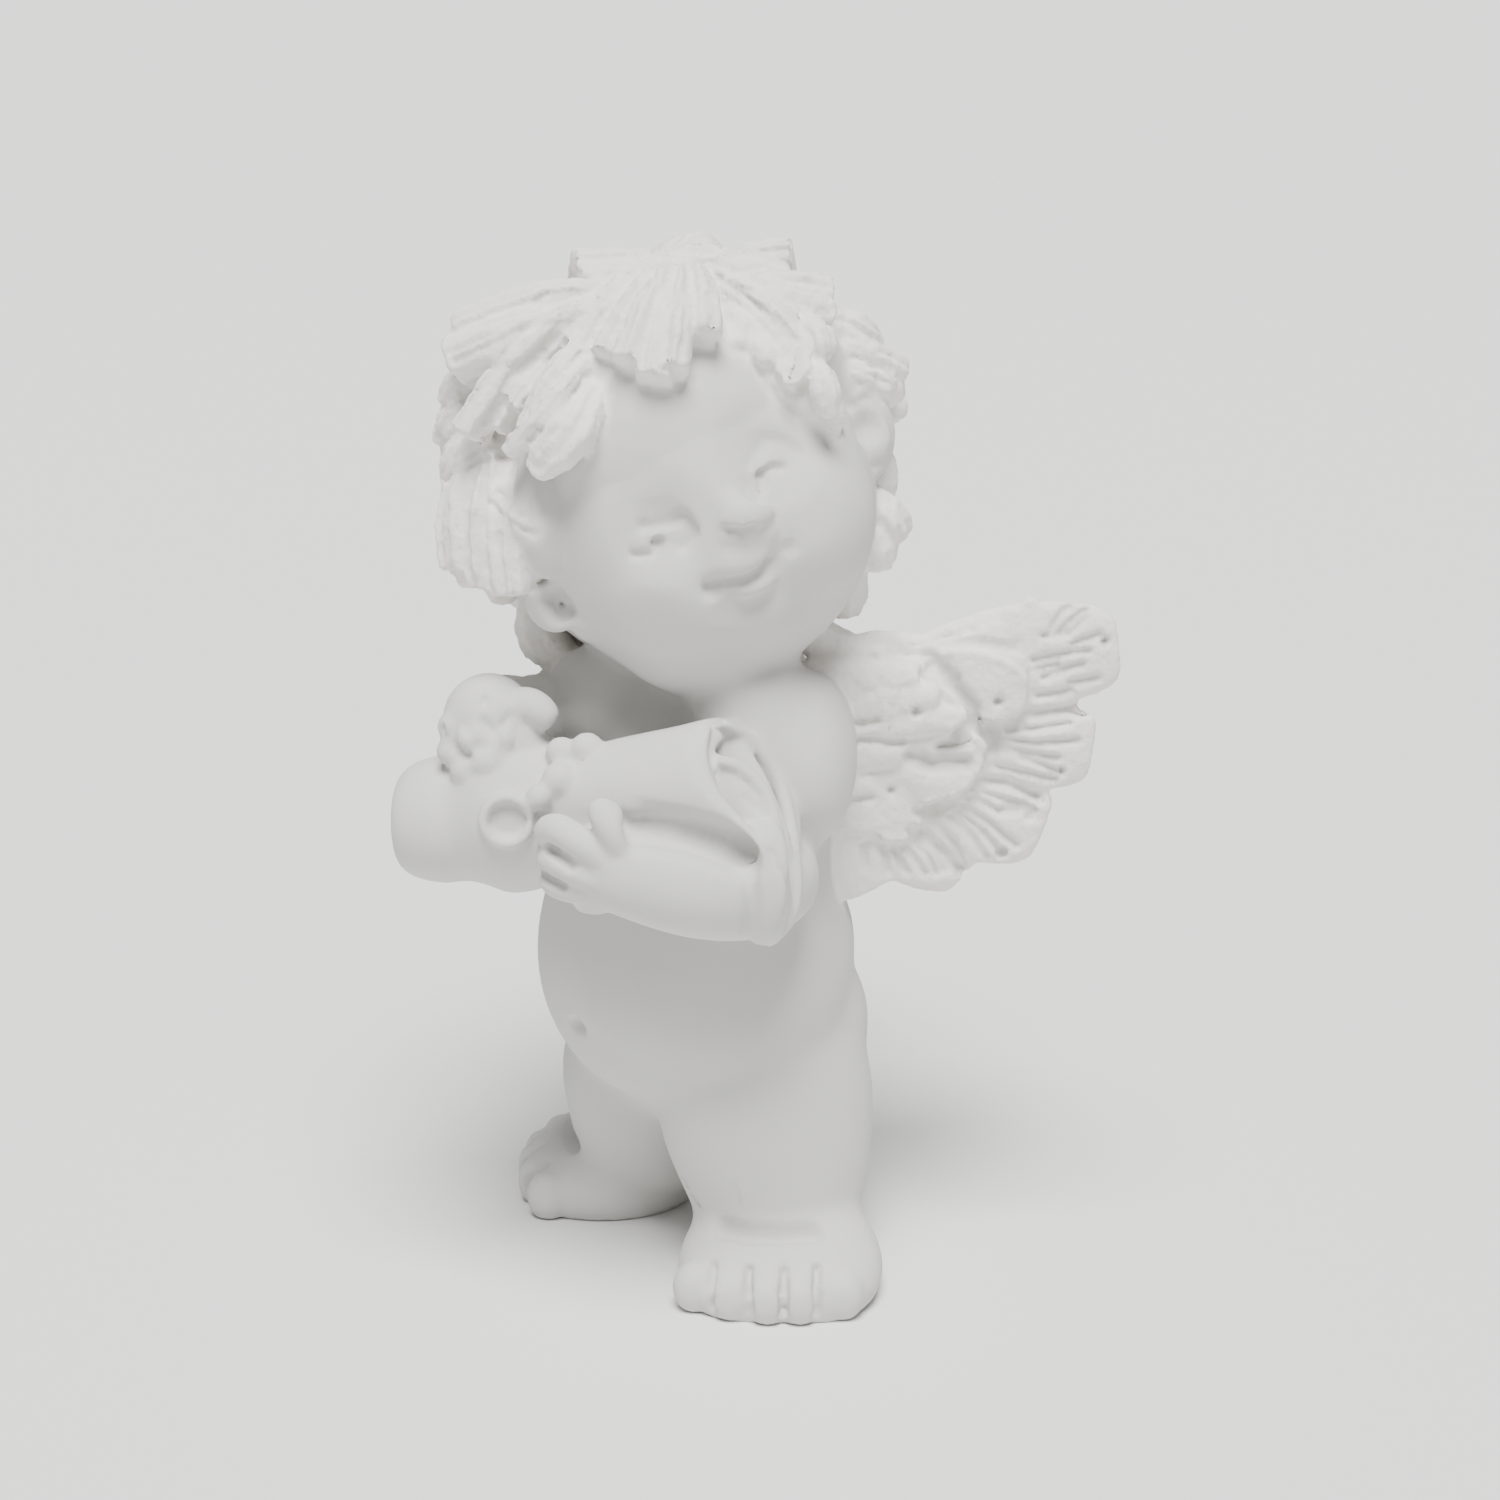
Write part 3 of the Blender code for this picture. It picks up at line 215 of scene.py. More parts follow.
FOOT_BESIDE = np.array([0.678, 0.735, 0.0])
FOOT_MIDDLE = np.array([11.0, 1.2, 0.0])
STRIDE = 1.2              # the left foot stands this far ahead of the middle, the right behind


def on_foot(side, across, ahead, height):
    place = FOOT_MIDDLE + FOOT_BESIDE * across + FOOT_AHEAD * ahead + (0.0, 0.0, height)
    return place * (side, 1, 1) + WING_FRONT * STRIDE * side


feet = [form("foot", [on_foot(side, 0, ahead, height) for ahead,
                      height in ((-5.8, 3.0), (0, 3.0), (6.0, 2.3), (12.0, 1.6))],
             [(7.8, 6.4), (9.6, 6.4), (10.3, 5.2), (9.8, 4.0)],
             around=32, along=20, ends=(0.5, 0.34)) for side in (1, -1)]
shoulder = ball("shoulder", (9.6, 3.6, 52.6), (6.0, 6.0, 6.6))
buttock = ball("buttock", (5.8, 8.0, 22.8), (6.8, 6.8, 8.6))
wing_root = form("wing root", [(5.0, 7.4, 50.5), (9.6, 12.0, 53), (14.6, 17.0, 54.5)],
                 [(3.6, 7.6), (2.7, 7.8), (1.7, 6.8)], around=20)
for half in (leg, shoulder, buttock, wing_root):
    masses += [half, mirrored(half)]
masses += feet
print(len(masses), "masses below the head")

# %% [markdown]
# The arms differ: the left one hangs and then crosses in front of the scroll, the right one
# reaches over the scroll's narrow end and ends in a fist. The head is a ball with two fat cheeks,
# a chin and a brow sunk into it, which is what makes a baby's face.

# %% Arms and head
masses += [
    form("left upper arm", along_front([(8.6, 60.0, 4.0), (9.8, 55.0, 6.0), (9.6, 49.0, 7.6),
                                        (7.8, 44.4, 8.6)]),
         [(5.0, 7.0), (5.2, 8.0), (5.0, 8.0), (4.0, 5.6)], facing=WING_FRONT, around=28, along=20),
    form("left chest", along_front([(1.0, 62.0, 4.0), (4.6, 58.0, 7.4), (6.0, 51.0, 10.0),
                                    (7.6, 45.4, 11.0)]),
         [(5.4, 5.4), (6.4, 6.4), (6.4, 6.0), (5.0, 5.0)], facing=WING_FRONT, around=28, along=20),
    form("left forearm", along_front([(8.4, 43.2, 10), (7.4, 43.0, 15), (4.6, 44.0, 20),
                                      (0.4, 45.2, 22.2), (-4.4, 46.2, 22.2), (-9.0, 47.0, 21.6),
                                      (-12.4, 47.2, 20.4)]),
         [(5.0, 4.8), (5.0, 4.8), (5.0, 4.8), (5.1, 4.7), (4.9, 4.2), (4.6, 3.4), (4.2, 2.4)],
         facing=WING_FRONT, around=24, along=20),
    form("right shoulder", along_front([(-4.0, 56.0, 1.0), (-10.0, 56.4, 0.6), (-14.0, 55.4, 0.0)]),
         [(5.6, 5.6), (5.4, 5.4), (4.8, 4.8)], facing=WING_FRONT, around=24),
    form("right upper arm", [(-9.8, 3.2, 53), (-13.2, -1.8, 51.2), (-14.6, -7.0, 50.6)],
         [(5.6, 5.6), (5.0, 5.0), (4.6, 4.6)]),
    form("right forearm", [(-14.6, -7.0, 50.8), (-12.2, -13.5, 54.2), (-8.0, -19.5, 57.2)],
         [(4.7, 4.7), (4.2, 4.2), (3.6, 3.8)]),
    ball("right fist", on_front(-20.0, 56.6, 9.8), (4.2, 3.8, 3.7), 25),
    ball("skull", HEAD_CENTRE, (16.8, 16.8, 16.8)),
    ball("cheek right", on_head(-36, -28, 9.2), (9.0, 9.0, 9.0)),
    ball("cheek left", on_head(40, -26, 9.4), (9.2, 9.2, 9.2)),
    ball("chin", on_head(-2, -48, 9.8), (7.6, 7.6, 7.6)),
    ball("jaw", on_head(-62, -56, 9.0), (9.3, 9.3, 9.3)),
    ball("brow", on_head(0, 32, 4.6), (12.6, 12.6, 12.6))]
print(len(masses), "masses in all")

# %% [markdown]
# Fusing joins the forms and skins them on a grid of small cubes, so every overlap becomes one
# closed surface. Many light smoothing passes then round the seams into the soft creases of baby
# fat. A sculptor would do the same with a wet brush on clay.

# %% Melt the masses into one skin
def fuse(name, pieces, voxel, passes):
    bpy.ops.object.select_all(action="DESELECT")
    for piece in pieces:
        piece.select_set(True)
    bpy.context.view_layer.objects.active = pieces[0]
    bpy.ops.object.join()
    body = bpy.context.object
    body.name = name
    skin = body.modifiers.new("skin", "REMESH")
    skin.mode = "VOXEL"
    skin.voxel_size = voxel
    bpy.ops.object.modifier_apply(modifier="skin")
    if passes:
        soften = body.modifiers.new("soften", "SMOOTH")
        soften.factor = 0.5
        soften.iterations = passes
        bpy.ops.object.modifier_apply(modifier="soften")
    return body


angel = fuse("angel", masses, SOFT_VOXEL, SOFT_PASSES)
print("soft skin has", len(angel.data.polygons), "faces")

# %% [markdown]
# The scroll is a stout roll at its narrow end. At the open end the sheet flares, its near rim
# runs down over the forearm and its far rim curls round to meet it, with one more lap showing
# between them. Rims are thin forms along arcs; the open end is cut on a slant and hollowed.

# %% Scroll
def cut(body, tool):
    carve = body.modifiers.new("carve", "BOOLEAN")
    carve.operation = "DIFFERENCE"
    carve.solver = "EXACT"
    carve.object = tool
    bpy.context.view_layer.objects.active = body
    bpy.ops.object.modifier_apply(modifier="carve")
    bpy.data.objects.remove(tool)


BARREL_PATH = ((-28.2, 46.9, 8.8), (-26.4, 47.0, 9.1), (-24.2, 47.2, 9.4), (-22.0, 47.5, 9.7),
               (-18.4, 48.2, 10.2), (-14.4, 48.8, 11.4), (-9.0, 50.0, 13.8))
ROLL_PATH = ((-13.0, 49.2, 13.2), (-7.2, 51.0, 15.2), (-1.6, 52.6, 16.8), (2.4, 53.3, 17.6),
             (7.4, 53.4, 18.2))
HOLLOW_PATH = ((1.0, 55.0, 18.2), (3.6, 54.6, 18.4), (7.0, 53.6, 18.4), (11.0, 53.0, 18.4))
barrel = form("scroll barrel", along_front(BARREL_PATH),
              [(5.2, 5.2), (5.8, 5.8), (6.1, 6.1), (6.1, 6.1), (7.8, 7.6), (7.8, 7.6), (6.2, 6.2)],
              facing=WING_FRONT, around=48, along=32, ends=(0.16, 0.3))
roll = form("scroll roll", along_front(ROLL_PATH),
            [(6.2, 6.2), (5.9, 6.0), (5.8, 6.0), (6.3, 6.4), (6.6, 6.6)],
            facing=WING_FRONT, around=48, along=32, ends=(0.3, 0.0))
rim = along_front([(0.8, 58.8, 17.6), (1.5, 54.4, 23.0), (5.8, 49.2, 24.6)])
bevel = unit(np.cross(rim[1] - rim[0], rim[2] - rim[0]))
bpy.ops.mesh.primitive_cube_add(size=30.0, location=tuple(rim[1] + bevel * 15.0),
                                rotation=tuple(Vector(bevel).to_track_quat("Z", "Y").to_euler()))
cut(roll, bpy.context.object)
cut(roll, form("scroll hollow", along_front(HOLLOW_PATH), [(2.6, 2.8), (5.0, 5.0), (5.6, 5.7), (6.0, 6.0)],
               facing=WING_FRONT, around=32, along=16, ends=(0.4, 0.0)))
crisp = [barrel, roll]
LAPS = (
    ("near rim", ((0.9, 59.0, 17.4), (0.4, 57.4, 20.4), (1.1, 54.8, 22.3), (3.0, 52.4, 23.4),
                  (5.4, 50.2, 24.3), (6.5, 48.4, 24.8)), 0.65, 0.75),
    ("outer rim", ((2.2, 59.2, 17.2), (4.6, 56.9, 15.2), (7.1, 53.4, 15.0), (8.3, 49.9, 17),
                   (8.9, 45.6, 20), (8.5, 42.2, 22.2), (6.4, 39.4, 22.2)), 0.75, 0.7),
    ("lap", ((2.0, 56.7, 20.4), (4.1, 55.6, 19.8), (6.2, 53.3, 20.2), (7.4, 49.7, 22.2),
             (7.8, 45.0, 24.2), (7.2, 41.4, 23.8)), 0.7, 0.8),
    ("lap fill", ((0.8, 56.4, 19.2), (2.0, 54.0, 20.0), (4.0, 51.2, 21.0), (5.7, 48.0, 22.2),
                  (6.6, 44.6, 22.9), (6.8, 41.6, 22.6)), 2.2, 1.1),
    ("inner wall", ((0.6, 57.2, 15.2), (2.2, 54.2, 16.4), (3.7, 51.4, 17.8), (5.2, 48.4, 19.4),
                    (6.0, 45.4, 20.6)), 3.6, 1.4),
    ("flap", ((5.6, 51.6, 22.6), (6.4, 49.4, 23.8), (6.5, 46.4, 24.7), (6.4, 42.9, 24.3),
              (6.1, 39.8, 22.6)), 1.9, 0.9),
    ("back wall", ((4.0, 57.0, 14.6), (6.4, 54.0, 13.6), (7.8, 50.0, 15.0), (8.0, 45.0, 17.6),
                   (7.2, 41.6, 19.4)), 1.6, 1.4),
)
for name, arc, width, thick in LAPS:
    crisp.append(form("scroll " + name, along_front(arc), [(width, thick)] * len(arc), facing=WING_FRONT,
                      along=40, ends=(0.3, 0.3)))
SEAL_PLACE = on_front(-17.5, 50.1, 18.2)
SEAL_OUT = unit(WING_FRONT * 0.98 - WING_AWAY * 0.07 + np.array([0.0, 0.0, 0.16]))
SEAL_ACROSS = unit(np.cross((0, 0, 1), SEAL_OUT))
SEAL_UP = np.cross(SEAL_OUT, SEAL_ACROSS)
ring = [SEAL_PLACE + SEAL_ACROSS * 2.2 * cos(pi * step / 6) + SEAL_UP * 2.2 * sin(pi * step / 6)
        for step in range(13)]
crisp.append(form("seal rim", ring, [(0.55, 0.8)] * 13, facing=SEAL_OUT, along=36, ends=(0.3, 0.3)))
crisp.append(form("seal", [SEAL_PLACE - SEAL_OUT * 2.4, SEAL_PLACE - SEAL_OUT * 0.3],
                  [(2.2, 2.2), (2.2, 2.2)], facing=SEAL_UP, around=20, along=8, ends=(0.1, 0.05)))
TIE = (("tie lobe", (-12.6, 55.4, 14.4), 1.5), ("tie lobe", (-10.2, 55.9, 15.0), 1.6),
       ("tie knot", (-12.6, 53.6, 17.0), 1.75), ("tie bead", (-14.5, 52.3, 18.0), 1.25))
for name, place, radius in TIE:
    crisp.append(ball(name, on_front(*place), (radius, radius, radius)))
print("scroll parts:", len(crisp))

# %% [markdown]
# Fingers are short, fat forms: the left hand's lie along the scroll with two gaps pressed between
# them, the right hand's curl over its end. Toes are five stubby forms in a shallow arc. They stay
# crisp because they are joined after the smoothing, and so do the nose, lips and ears.

# %% Fingers, toes, nose, lips and ears
HANDS = (
    ("left thumb", ((-6.0, 48.0, 23.4), (-7.7, 51.2, 23.8), (-9.2, 53.6, 22.6)), 1.5),
    ("left first", ((-7.5, 47.4, 23.8), (-10.4, 49.6, 23.2), (-13.0, 50.5, 21.4), (-14.3, 49.0, 20.0)),
     1.5),
    ("left second", ((-8.4, 45.8, 23.8), (-11.9, 47.2, 22.4), (-14.3, 47.3, 20.2)), 1.45),
    ("left third", ((-9.4, 44.6, 22.9), (-12.4, 44.9, 21.4), (-14.0, 45.3, 19.6)), 1.4),
    ("left little", ((-7.6, 43.9, 22.4), (-11.2, 43.2, 20.5)), 1.4),
    ("right thumb", ((-18.0, 58.6, 10.0), (-15.6, 59.0, 11.2), (-13.4, 57.4, 11.8)), 1.7))
for name, path, radius in HANDS:
    crisp.append(form(name, along_front(path), [(radius, radius)] * len(path)))
PADS = (("left palm", (-8.0, 47.4, 21.8), 2.6), ("left pad", (-9.8, 46.8, 20.7), 3.0),
        ("left pad", (-12.0, 47.2, 18.8), 2.9),
        ("right back", (-19.6, 57.2, 9.6), 4.3), ("right palm", (-20.6, 54.8, 11.0), 3.3),
        ("right heel", (-17.2, 55.2, 10.4), 3.2),
        ("right first", (-18.4, 56.2, 13.2), 1.5), ("right second", (-19.5, 54.4, 14.0), 1.7),
        ("right third", (-21.5, 53.4, 13.4), 1.6),
        ("right little", (-23.0, 54.8, 12.0), 1.4), ("right knuckle", (-20.9, 56.5, 13.4), 1.5),
        ("right knuckle", (-22.8, 57.0, 11.4), 1.5))
for name, place, radius in PADS:
    crisp.append(ball(name, on_front(*place), (radius, radius, radius)))
crisp.append(form("right wrist", along_front([(-19.0, 56.4, 7.0), (-16.4, 55.6, 3.0), (-13.8, 54.6, -1.4)]),
                  [(3.0, 3.0), (3.6, 3.6), (4.4, 4.4)], around=20))
for across in (-8.1, -4.6, -1.0, 2.1, 6.2):
    reach = 13.0 - 0.036 * across * across
    for side in (1, -1):
        crisp.append(form("toe", [on_foot(side, across, ahead, 2.2) for ahead in (reach - 4, reach)],
                          [(2.2, 2.6), (2.1, 2.5)], ends=(0.6, 0.7)))
for name, path, sizes in (
        ("nose bridge", ((5.4, 4.2, 15.4), (4.8, -1.5, 16.2), (4.6, -6.0, 16.9)),
         ((1.2, 0.8), (1.4, 0.9), (1.6, 1.0))),
        ("nose", ((-3.4, -8.6, 16.2), (1.8, -7.6, 17.0), (6.6, -8.0, 17.4), (11.3, -9.6, 17.0),
                  (15.6, -11.8, 16.1)),
         ((1.0, 0.8), (1.4, 1.1), (1.6, 1.2), (1.4, 1.1), (1.0, 0.8))),
        ("nose foot", ((5.0, -9.6, 16.4), (3.4, -14, 16.1), (1.6, -18, 15.8)),
         ((2.8, 1.2), (3.2, 1.3), (3.2, 1.2))),
        ("upper lip", ((-15.0, -20.6, 14.9), (-7.5, -20.4, 15.7), (0.0, -20.6, 16.0), (7.5, -20.4, 15.8),
                       (14.5, -19.6, 15.0)),
         ((1.7, 1.0), (2.3, 1.5), (2.5, 1.6), (2.3, 1.5), (1.6, 1.1))),
        ("lower lip", ((-9.5, -28.6, 16.2), (-3.0, -30.8, 16.5), (3.5, -30.6, 16.5), (9.0, -28.6, 16.0)),
         ((0.8, 0.8), (1.1, 1.1), (1.1, 1.1), (0.8, 0.8)))):
    crisp.append(form(name, [on_head(*place) for place in path], sizes, facing=AHEAD))
EARS = (
    ("left ear", ((72, 8, 17.2), (78, 8, 18.6), (82, -2, 18.9), (80, -12, 17.6), (75, -18, 15.8)), 1.0,
     1.3),
    ("left ear bowl", ((73, 6, 16.8), (75, -3, 17.2), (75, -13, 16.2)), 2.2, 1.1),
    ("right ear", ((-77, 1, 17.6), (-80, -3, 18.4), (-79, -8, 18.6), (-76, -12, 18.2), (-72, -14, 17.2)),
     1.0, 1.1),
    ("right ear bowl", ((-73, 0, 16.6), (-75, -6, 17.2), (-73, -11, 17.0)), 2.2, 1.2),
    ("right ear root", ((-68, -12, 14.6), (-74, -18, 14.4), (-84, -24, 14.0)), 3.2, 2.8))
for name, path, width, thick in EARS:
    crisp.append(form(name, [on_head(*place) for place in path], [(width, thick)] * len(path),
                      facing=AHEAD, along=20))
print("crisp parts so far:", len(crisp))

# %% [markdown]
# The hair is a cap, a crown and four strips of padding under many separate locks. A lock is a
# squared form from root to tip with gouge marks down it, its tip cut flat or rounded as on the
# casting. The table lists the locks that show from the front; loops add plainer rows at the sides
# and back. The first lock of each back row is tucked in, so that it stays behind the left ear.

# %% Hair
# longitude, latitude and distance of the places along each lock, then half-width,
# half-thickness, bluntness of the tip (0 is cut square) and grooves
FRONT_LOCKS = (
    (((54, 69, 23.0), (11, 58, 22.6), (-12, 49, 20.6)), 1.5, 1.7, 0.0, 2),
    (((56, 68, 22.9), (13, 52, 23.3), (-6, 42, 21.2)), 1.5, 1.7, 0.0, 2),
    (((57, 67, 22.9), (15, 49, 22.5), (-1, 36, 20.3)), 1.5, 1.7, 0.0, 2),
    (((59, 65, 22.8), (18, 47, 22.8), (5, 35, 20.6)), 1.3, 1.9, 0.0, 2),
    (((61, 63, 22.8), (27, 46, 22.6), (20, 39, 21.2)), 1.4, 1.7, 0.0, 2),
    (((51, 71, 23.2), (3, 63, 22.6), (-25, 57, 21.2)), 1.7, 1.7, 0.0, 3),
    (((42, 71, 22.9), (-3, 70, 22.4), (-50, 70, 22.0)), 1.7, 1.9, 0.1, 3),
    (((14, 63, 23.5), (-5, 60, 21.8), (-21, 58, 20.0)), 1.9, 1.8, 0.0, 3),
    (((-18, 52, 20.4), (-32, 40, 22.0), (-50, 32, 22.6)), 1.0, 1.8, 0.2, 3),
    (((-21, 47, 19.2), (-30, 33, 20.4), (-46, 27, 20.8)), 2.1, 1.9, 0.42, 4),
    (((-11, 61, 21.0), (-30, 48, 21.8), (-46, 36, 21.6)), 1.4, 1.6, 0.2, 3),
    (((-6, 63, 23.6), (-40, 57, 23.6), (-65, 39, 24.1)), 1.2, 2.2, 0.05, 3),
    (((-17, 62, 22.6), (-46, 54, 22.0), (-62, 42, 22.0)), 1.4, 1.8, 0.1, 3),
    (((-36, 70, 20.6), (-44, 54, 21.8), (-54, 47, 22.2)), 2.0, 1.8, 0.0, 4),
    (((3, 67, 22.9), (-40, 68, 24.3), (-71, 59, 27.2)), 1.9, 3.2, 0.1, 2),
    (((-26, 63, 23.5), (-50, 59, 24.5), (-69, 55, 26.0)), 2.3, 3.2, 0.0, 2),
    (((67, 62, 21.6), (47, 77, 22.4), (-21, 79, 24.2)), 1.9, 2.6, 0.0, 3),
    (((50, 61, 21.4), (21, 70, 22.0), (-13, 72, 22.8)), 1.8, 2.0, 0.1, 3),
    (((71, 77, 21.6), (77, 66, 22.2), (75, 54, 22.4)), 1.8, 2.2, 0.3, 3),
    (((52, 59, 21.8), (60, 50, 22.4), (64, 40, 23.0)), 2.0, 2.0, 0.2, 3),
    (((72, 63, 21.8), (76, 52, 22.8), (77, 42, 24.4)), 1.4, 2.4, 0.0, 2),
    (((50, 47, 22.4), (57, 39, 22.2), (66, 31, 22.6)), 2.0, 2.4, 0.0, 3),
    (((47, 43, 22.3), (55, 35, 22.0), (63, 28, 21.8)), 1.6, 2.0, 0.1, 2),
    (((59, 60, 21.6), (48, 41, 21.8), (46, 26, 20.6), (35, 18, 19.6)), 1.3, 1.8, 0.45, 3),
    (((51, 56, 21.0), (45, 40, 20.6), (43, 27, 19.8), (36, 22, 19.0)), 1.1, 1.4, 0.5, 2),
    (((54, 51, 19.6), (42, 41, 20.0), (41, 38, 19.4)), 1.5, 1.5, 0.5, 0),
    (((44, 39, 18.8), (39, 31, 19.2), (38, 27, 18.6)), 1.4, 1.4, 0.5, 0),
    (((45, 49, 18.8), (35, 40, 19.0), (34, 37, 18.2)), 1.3, 1.3, 0.5, 0),
    (((42, 56, 17.4), (44, 38, 17.2), (46, 18, 17.2), (55, 2, 16.6)), 2.4, 2.2, 0.5, 0),
    (((55, 31, 21.0), (49, 24, 21.4), (48, 19, 20.6)), 1.8, 2.0, 0.5, 2),
    (((48, 21, 20.0), (42, 13, 20.6), (41, 6, 19.4)), 1.3, 1.6, 0.5, 3),
    (((78, 28, 20.9), (81, 22, 21.2), (87, 15, 21.6)), 2.0, 2.4, 0.3, 2),
    (((75, 22, 19.9), (81, 14, 20.6), (87, 7, 21.8)), 1.4, 2.4, 0.1, 3),
    (((72, 16, 19.0), (79, 10, 19.5), (84, 5, 20.2)), 1.2, 1.8, 0.3, 2),
    (((82, -21, 15.3), (85, -30, 17.4), (88, -36, 19.4)), 1.8, 2.2, 0.4, 3),
    (((81, -30, 15.6), (85, -39, 17.0), (89, -47, 17.8)), 1.8, 2.0, 0.4, 3),
    (((102, -42, 15.8), (114, -53, 16.8), (123, -59, 18.4)), 1.7, 2.2, 0.4, 3),
    (((106, -34, 15.8), (119, -48, 16.4), (131, -57, 17.6)), 1.7, 2.2, 0.4, 3),
    (((-72, 43, 21.4), (-78, 25, 22.6), (-81, 11, 23.0)), 2.1, 2.2, 0.1, 4),
    (((-68, 40, 21.1), (-73, 22, 21.2), (-77, 5, 21.6)), 1.8, 2.2, 0.1, 4),
    (((-66, 36, 19.6), (-69, 17, 19.7), (-73, 1, 20.5)), 1.8, 2.0, 0.1, 5),
    (((-68, 26, 20.0), (-62, 19, 19.2), (-57, 14, 18.0)), 1.3, 1.6, 0.4, 2),
    (((-71, 51, 22.8), (-80, 45, 23.8), (-87, 40, 24.4)), 1.6, 2.4, 0.3, 2),
    (((-69, 43, 21.8), (-78, 38, 22.8), (-84, 32, 23.4)), 1.6, 2.2, 0.3, 2),
    (((-69, 56, 23.8), (-78, 52, 24.6), (-84, 47, 25.0)), 1.6, 2.4, 0.3, 2),
    (((-76, 62, 21.4), (-88, 50, 22.6), (-92, 36, 22.6)), 2.6, 3.0, 0.3, 4),
    (((-84, 40, 19.6), (-92, 22, 21.6), (-94, 6, 21.6)), 2.8, 2.6, 0.3, 4),
)


def lock(name, places, width, thickness, blunt, grooves, toward=1.2, square=0.62):
    path = [on_head(*place) for place in places]
    facing = unit(unit(path[len(path) // 2] - HEAD_CENTRE) + AHEAD * toward)
    flare = 1.15 if blunt < 0.2 else 0.88
    tip = (width * flare, thickness * flare)
    sizes = [(width * 0.7, thickness * 0.8)] + [(width, thickness)] * (len(path) - 2) + [tip]
    return form(name, path, sizes, facing=facing, around=48, along=16, ends=(0.5, blunt),
                ridges=(grooves * 2, 0.06 if grooves else 0.0), square=square)


ROOTS = 18.0              # distance of the roots of the rows from the head's middle
TUCK = 3.4                # how far a back lock is tucked in
TUCK_BEFORE = 116         # when it hangs before this longitude, close behind the left ear
hair = []
for number, (places, width, thickness, blunt, grooves) in enumerate(FRONT_LOCKS):
    hair.append(lock("lock %d" % number, places, width, thickness, blunt, grooves))
for row, (top, bottom) in enumerate(((64, 40), (44, 18), (24, 2))):
    for step, around in enumerate((-118, -104, 84, 96, 108)):
        sway = 5 * sin(2.1 * step + 1.3 * row)
        places = ((around, top, ROOTS), (around + sway, (top + bottom) / 2, 20.6),
                  (around - sway, bottom, 20.6))
        hair.append(lock("under lock", places, 3.0, 2.0, 0.3, 3, toward=0.0))
# top and bottom latitude, reach from the head's middle, number of locks and half-width of each row
BACK_ROWS = ((76, 52, 23.4, 8, 3.6), (52, 24, 24.0, 9, 3.4), (26, -4, 23.6, 9, 3.2),
             (2, -24, 21.4, 8, 3.0), (-16, -40, 17.8, 7, 2.8))
for row, (top, bottom, reach, count, width) in enumerate(BACK_ROWS):
    for step in range(count):
        around = 104 + (136 * (step + 0.5 * (row % 2))) / (count - 0.5)
        sway = 7 * sin(2.4 * step + 1.7 * row)
        lift = 0.9 * sin(1.9 * step + 0.8 * row) - (TUCK if around < TUCK_BEFORE else 0.0)
        places = ((around - sway, top, ROOTS), (around, (top + bottom) / 2, reach + lift),
                  (around + sway, bottom, reach + lift))
        hair.append(lock("back lock", places, width, 2.0, 0.2, 4, toward=0.0))
padding = [ball("cap", HEAD_CENTRE - AHEAD * 4.6 + CROWN * 3.2, (18.4, 18.4, 18.4)),
           ball("crown", on_head(0, 80, 7.0), (14.9, 14.9, 14.9))]
STRIPS = (
    ("side padding", ((-86, 66, 18), (-84, 38, 18.6), (-84, 6, 17.6)), ((4.0, 5.0), (4.4, 5.0), (3.6, 4.4))),
    ("temple padding", ((-54, 44, 17.6), (-61, 20, 17.2), (-68, 0, 16.4)),
     ((3.0, 3.0), (3.0, 3.0), (2.6, 2.6))),
    ("left padding", ((60, 60, 17), (72, 38, 17.4), (86, 8, 16.4), (92, -24, 14.6)),
     ((4.0, 4.4), (4.0, 4.4), (3.4, 4.0), (3.0, 3.4))),
    ("fringe padding", ((-40, 56, 17.2), (0, 58, 18.0), (36, 52, 17.6)),
     ((3.0, 2.4), (3.6, 2.4), (3.0, 2.2))))
for name, path, sizes in STRIPS:
    padding.append(form(name, [on_head(*place) for place in path], sizes, facing=AHEAD, around=24, along=16))
print(len(hair), "locks")

# %% [markdown]
# A wing is a thin plate with five long feathers fanned from the shoulder, three round coverts
# laid over them, a ragged raised row by the body and two crumbs on its upper edge. Each feather is
# a flat petal form. One wing is modelled in its own plane and mirrored for the far side.

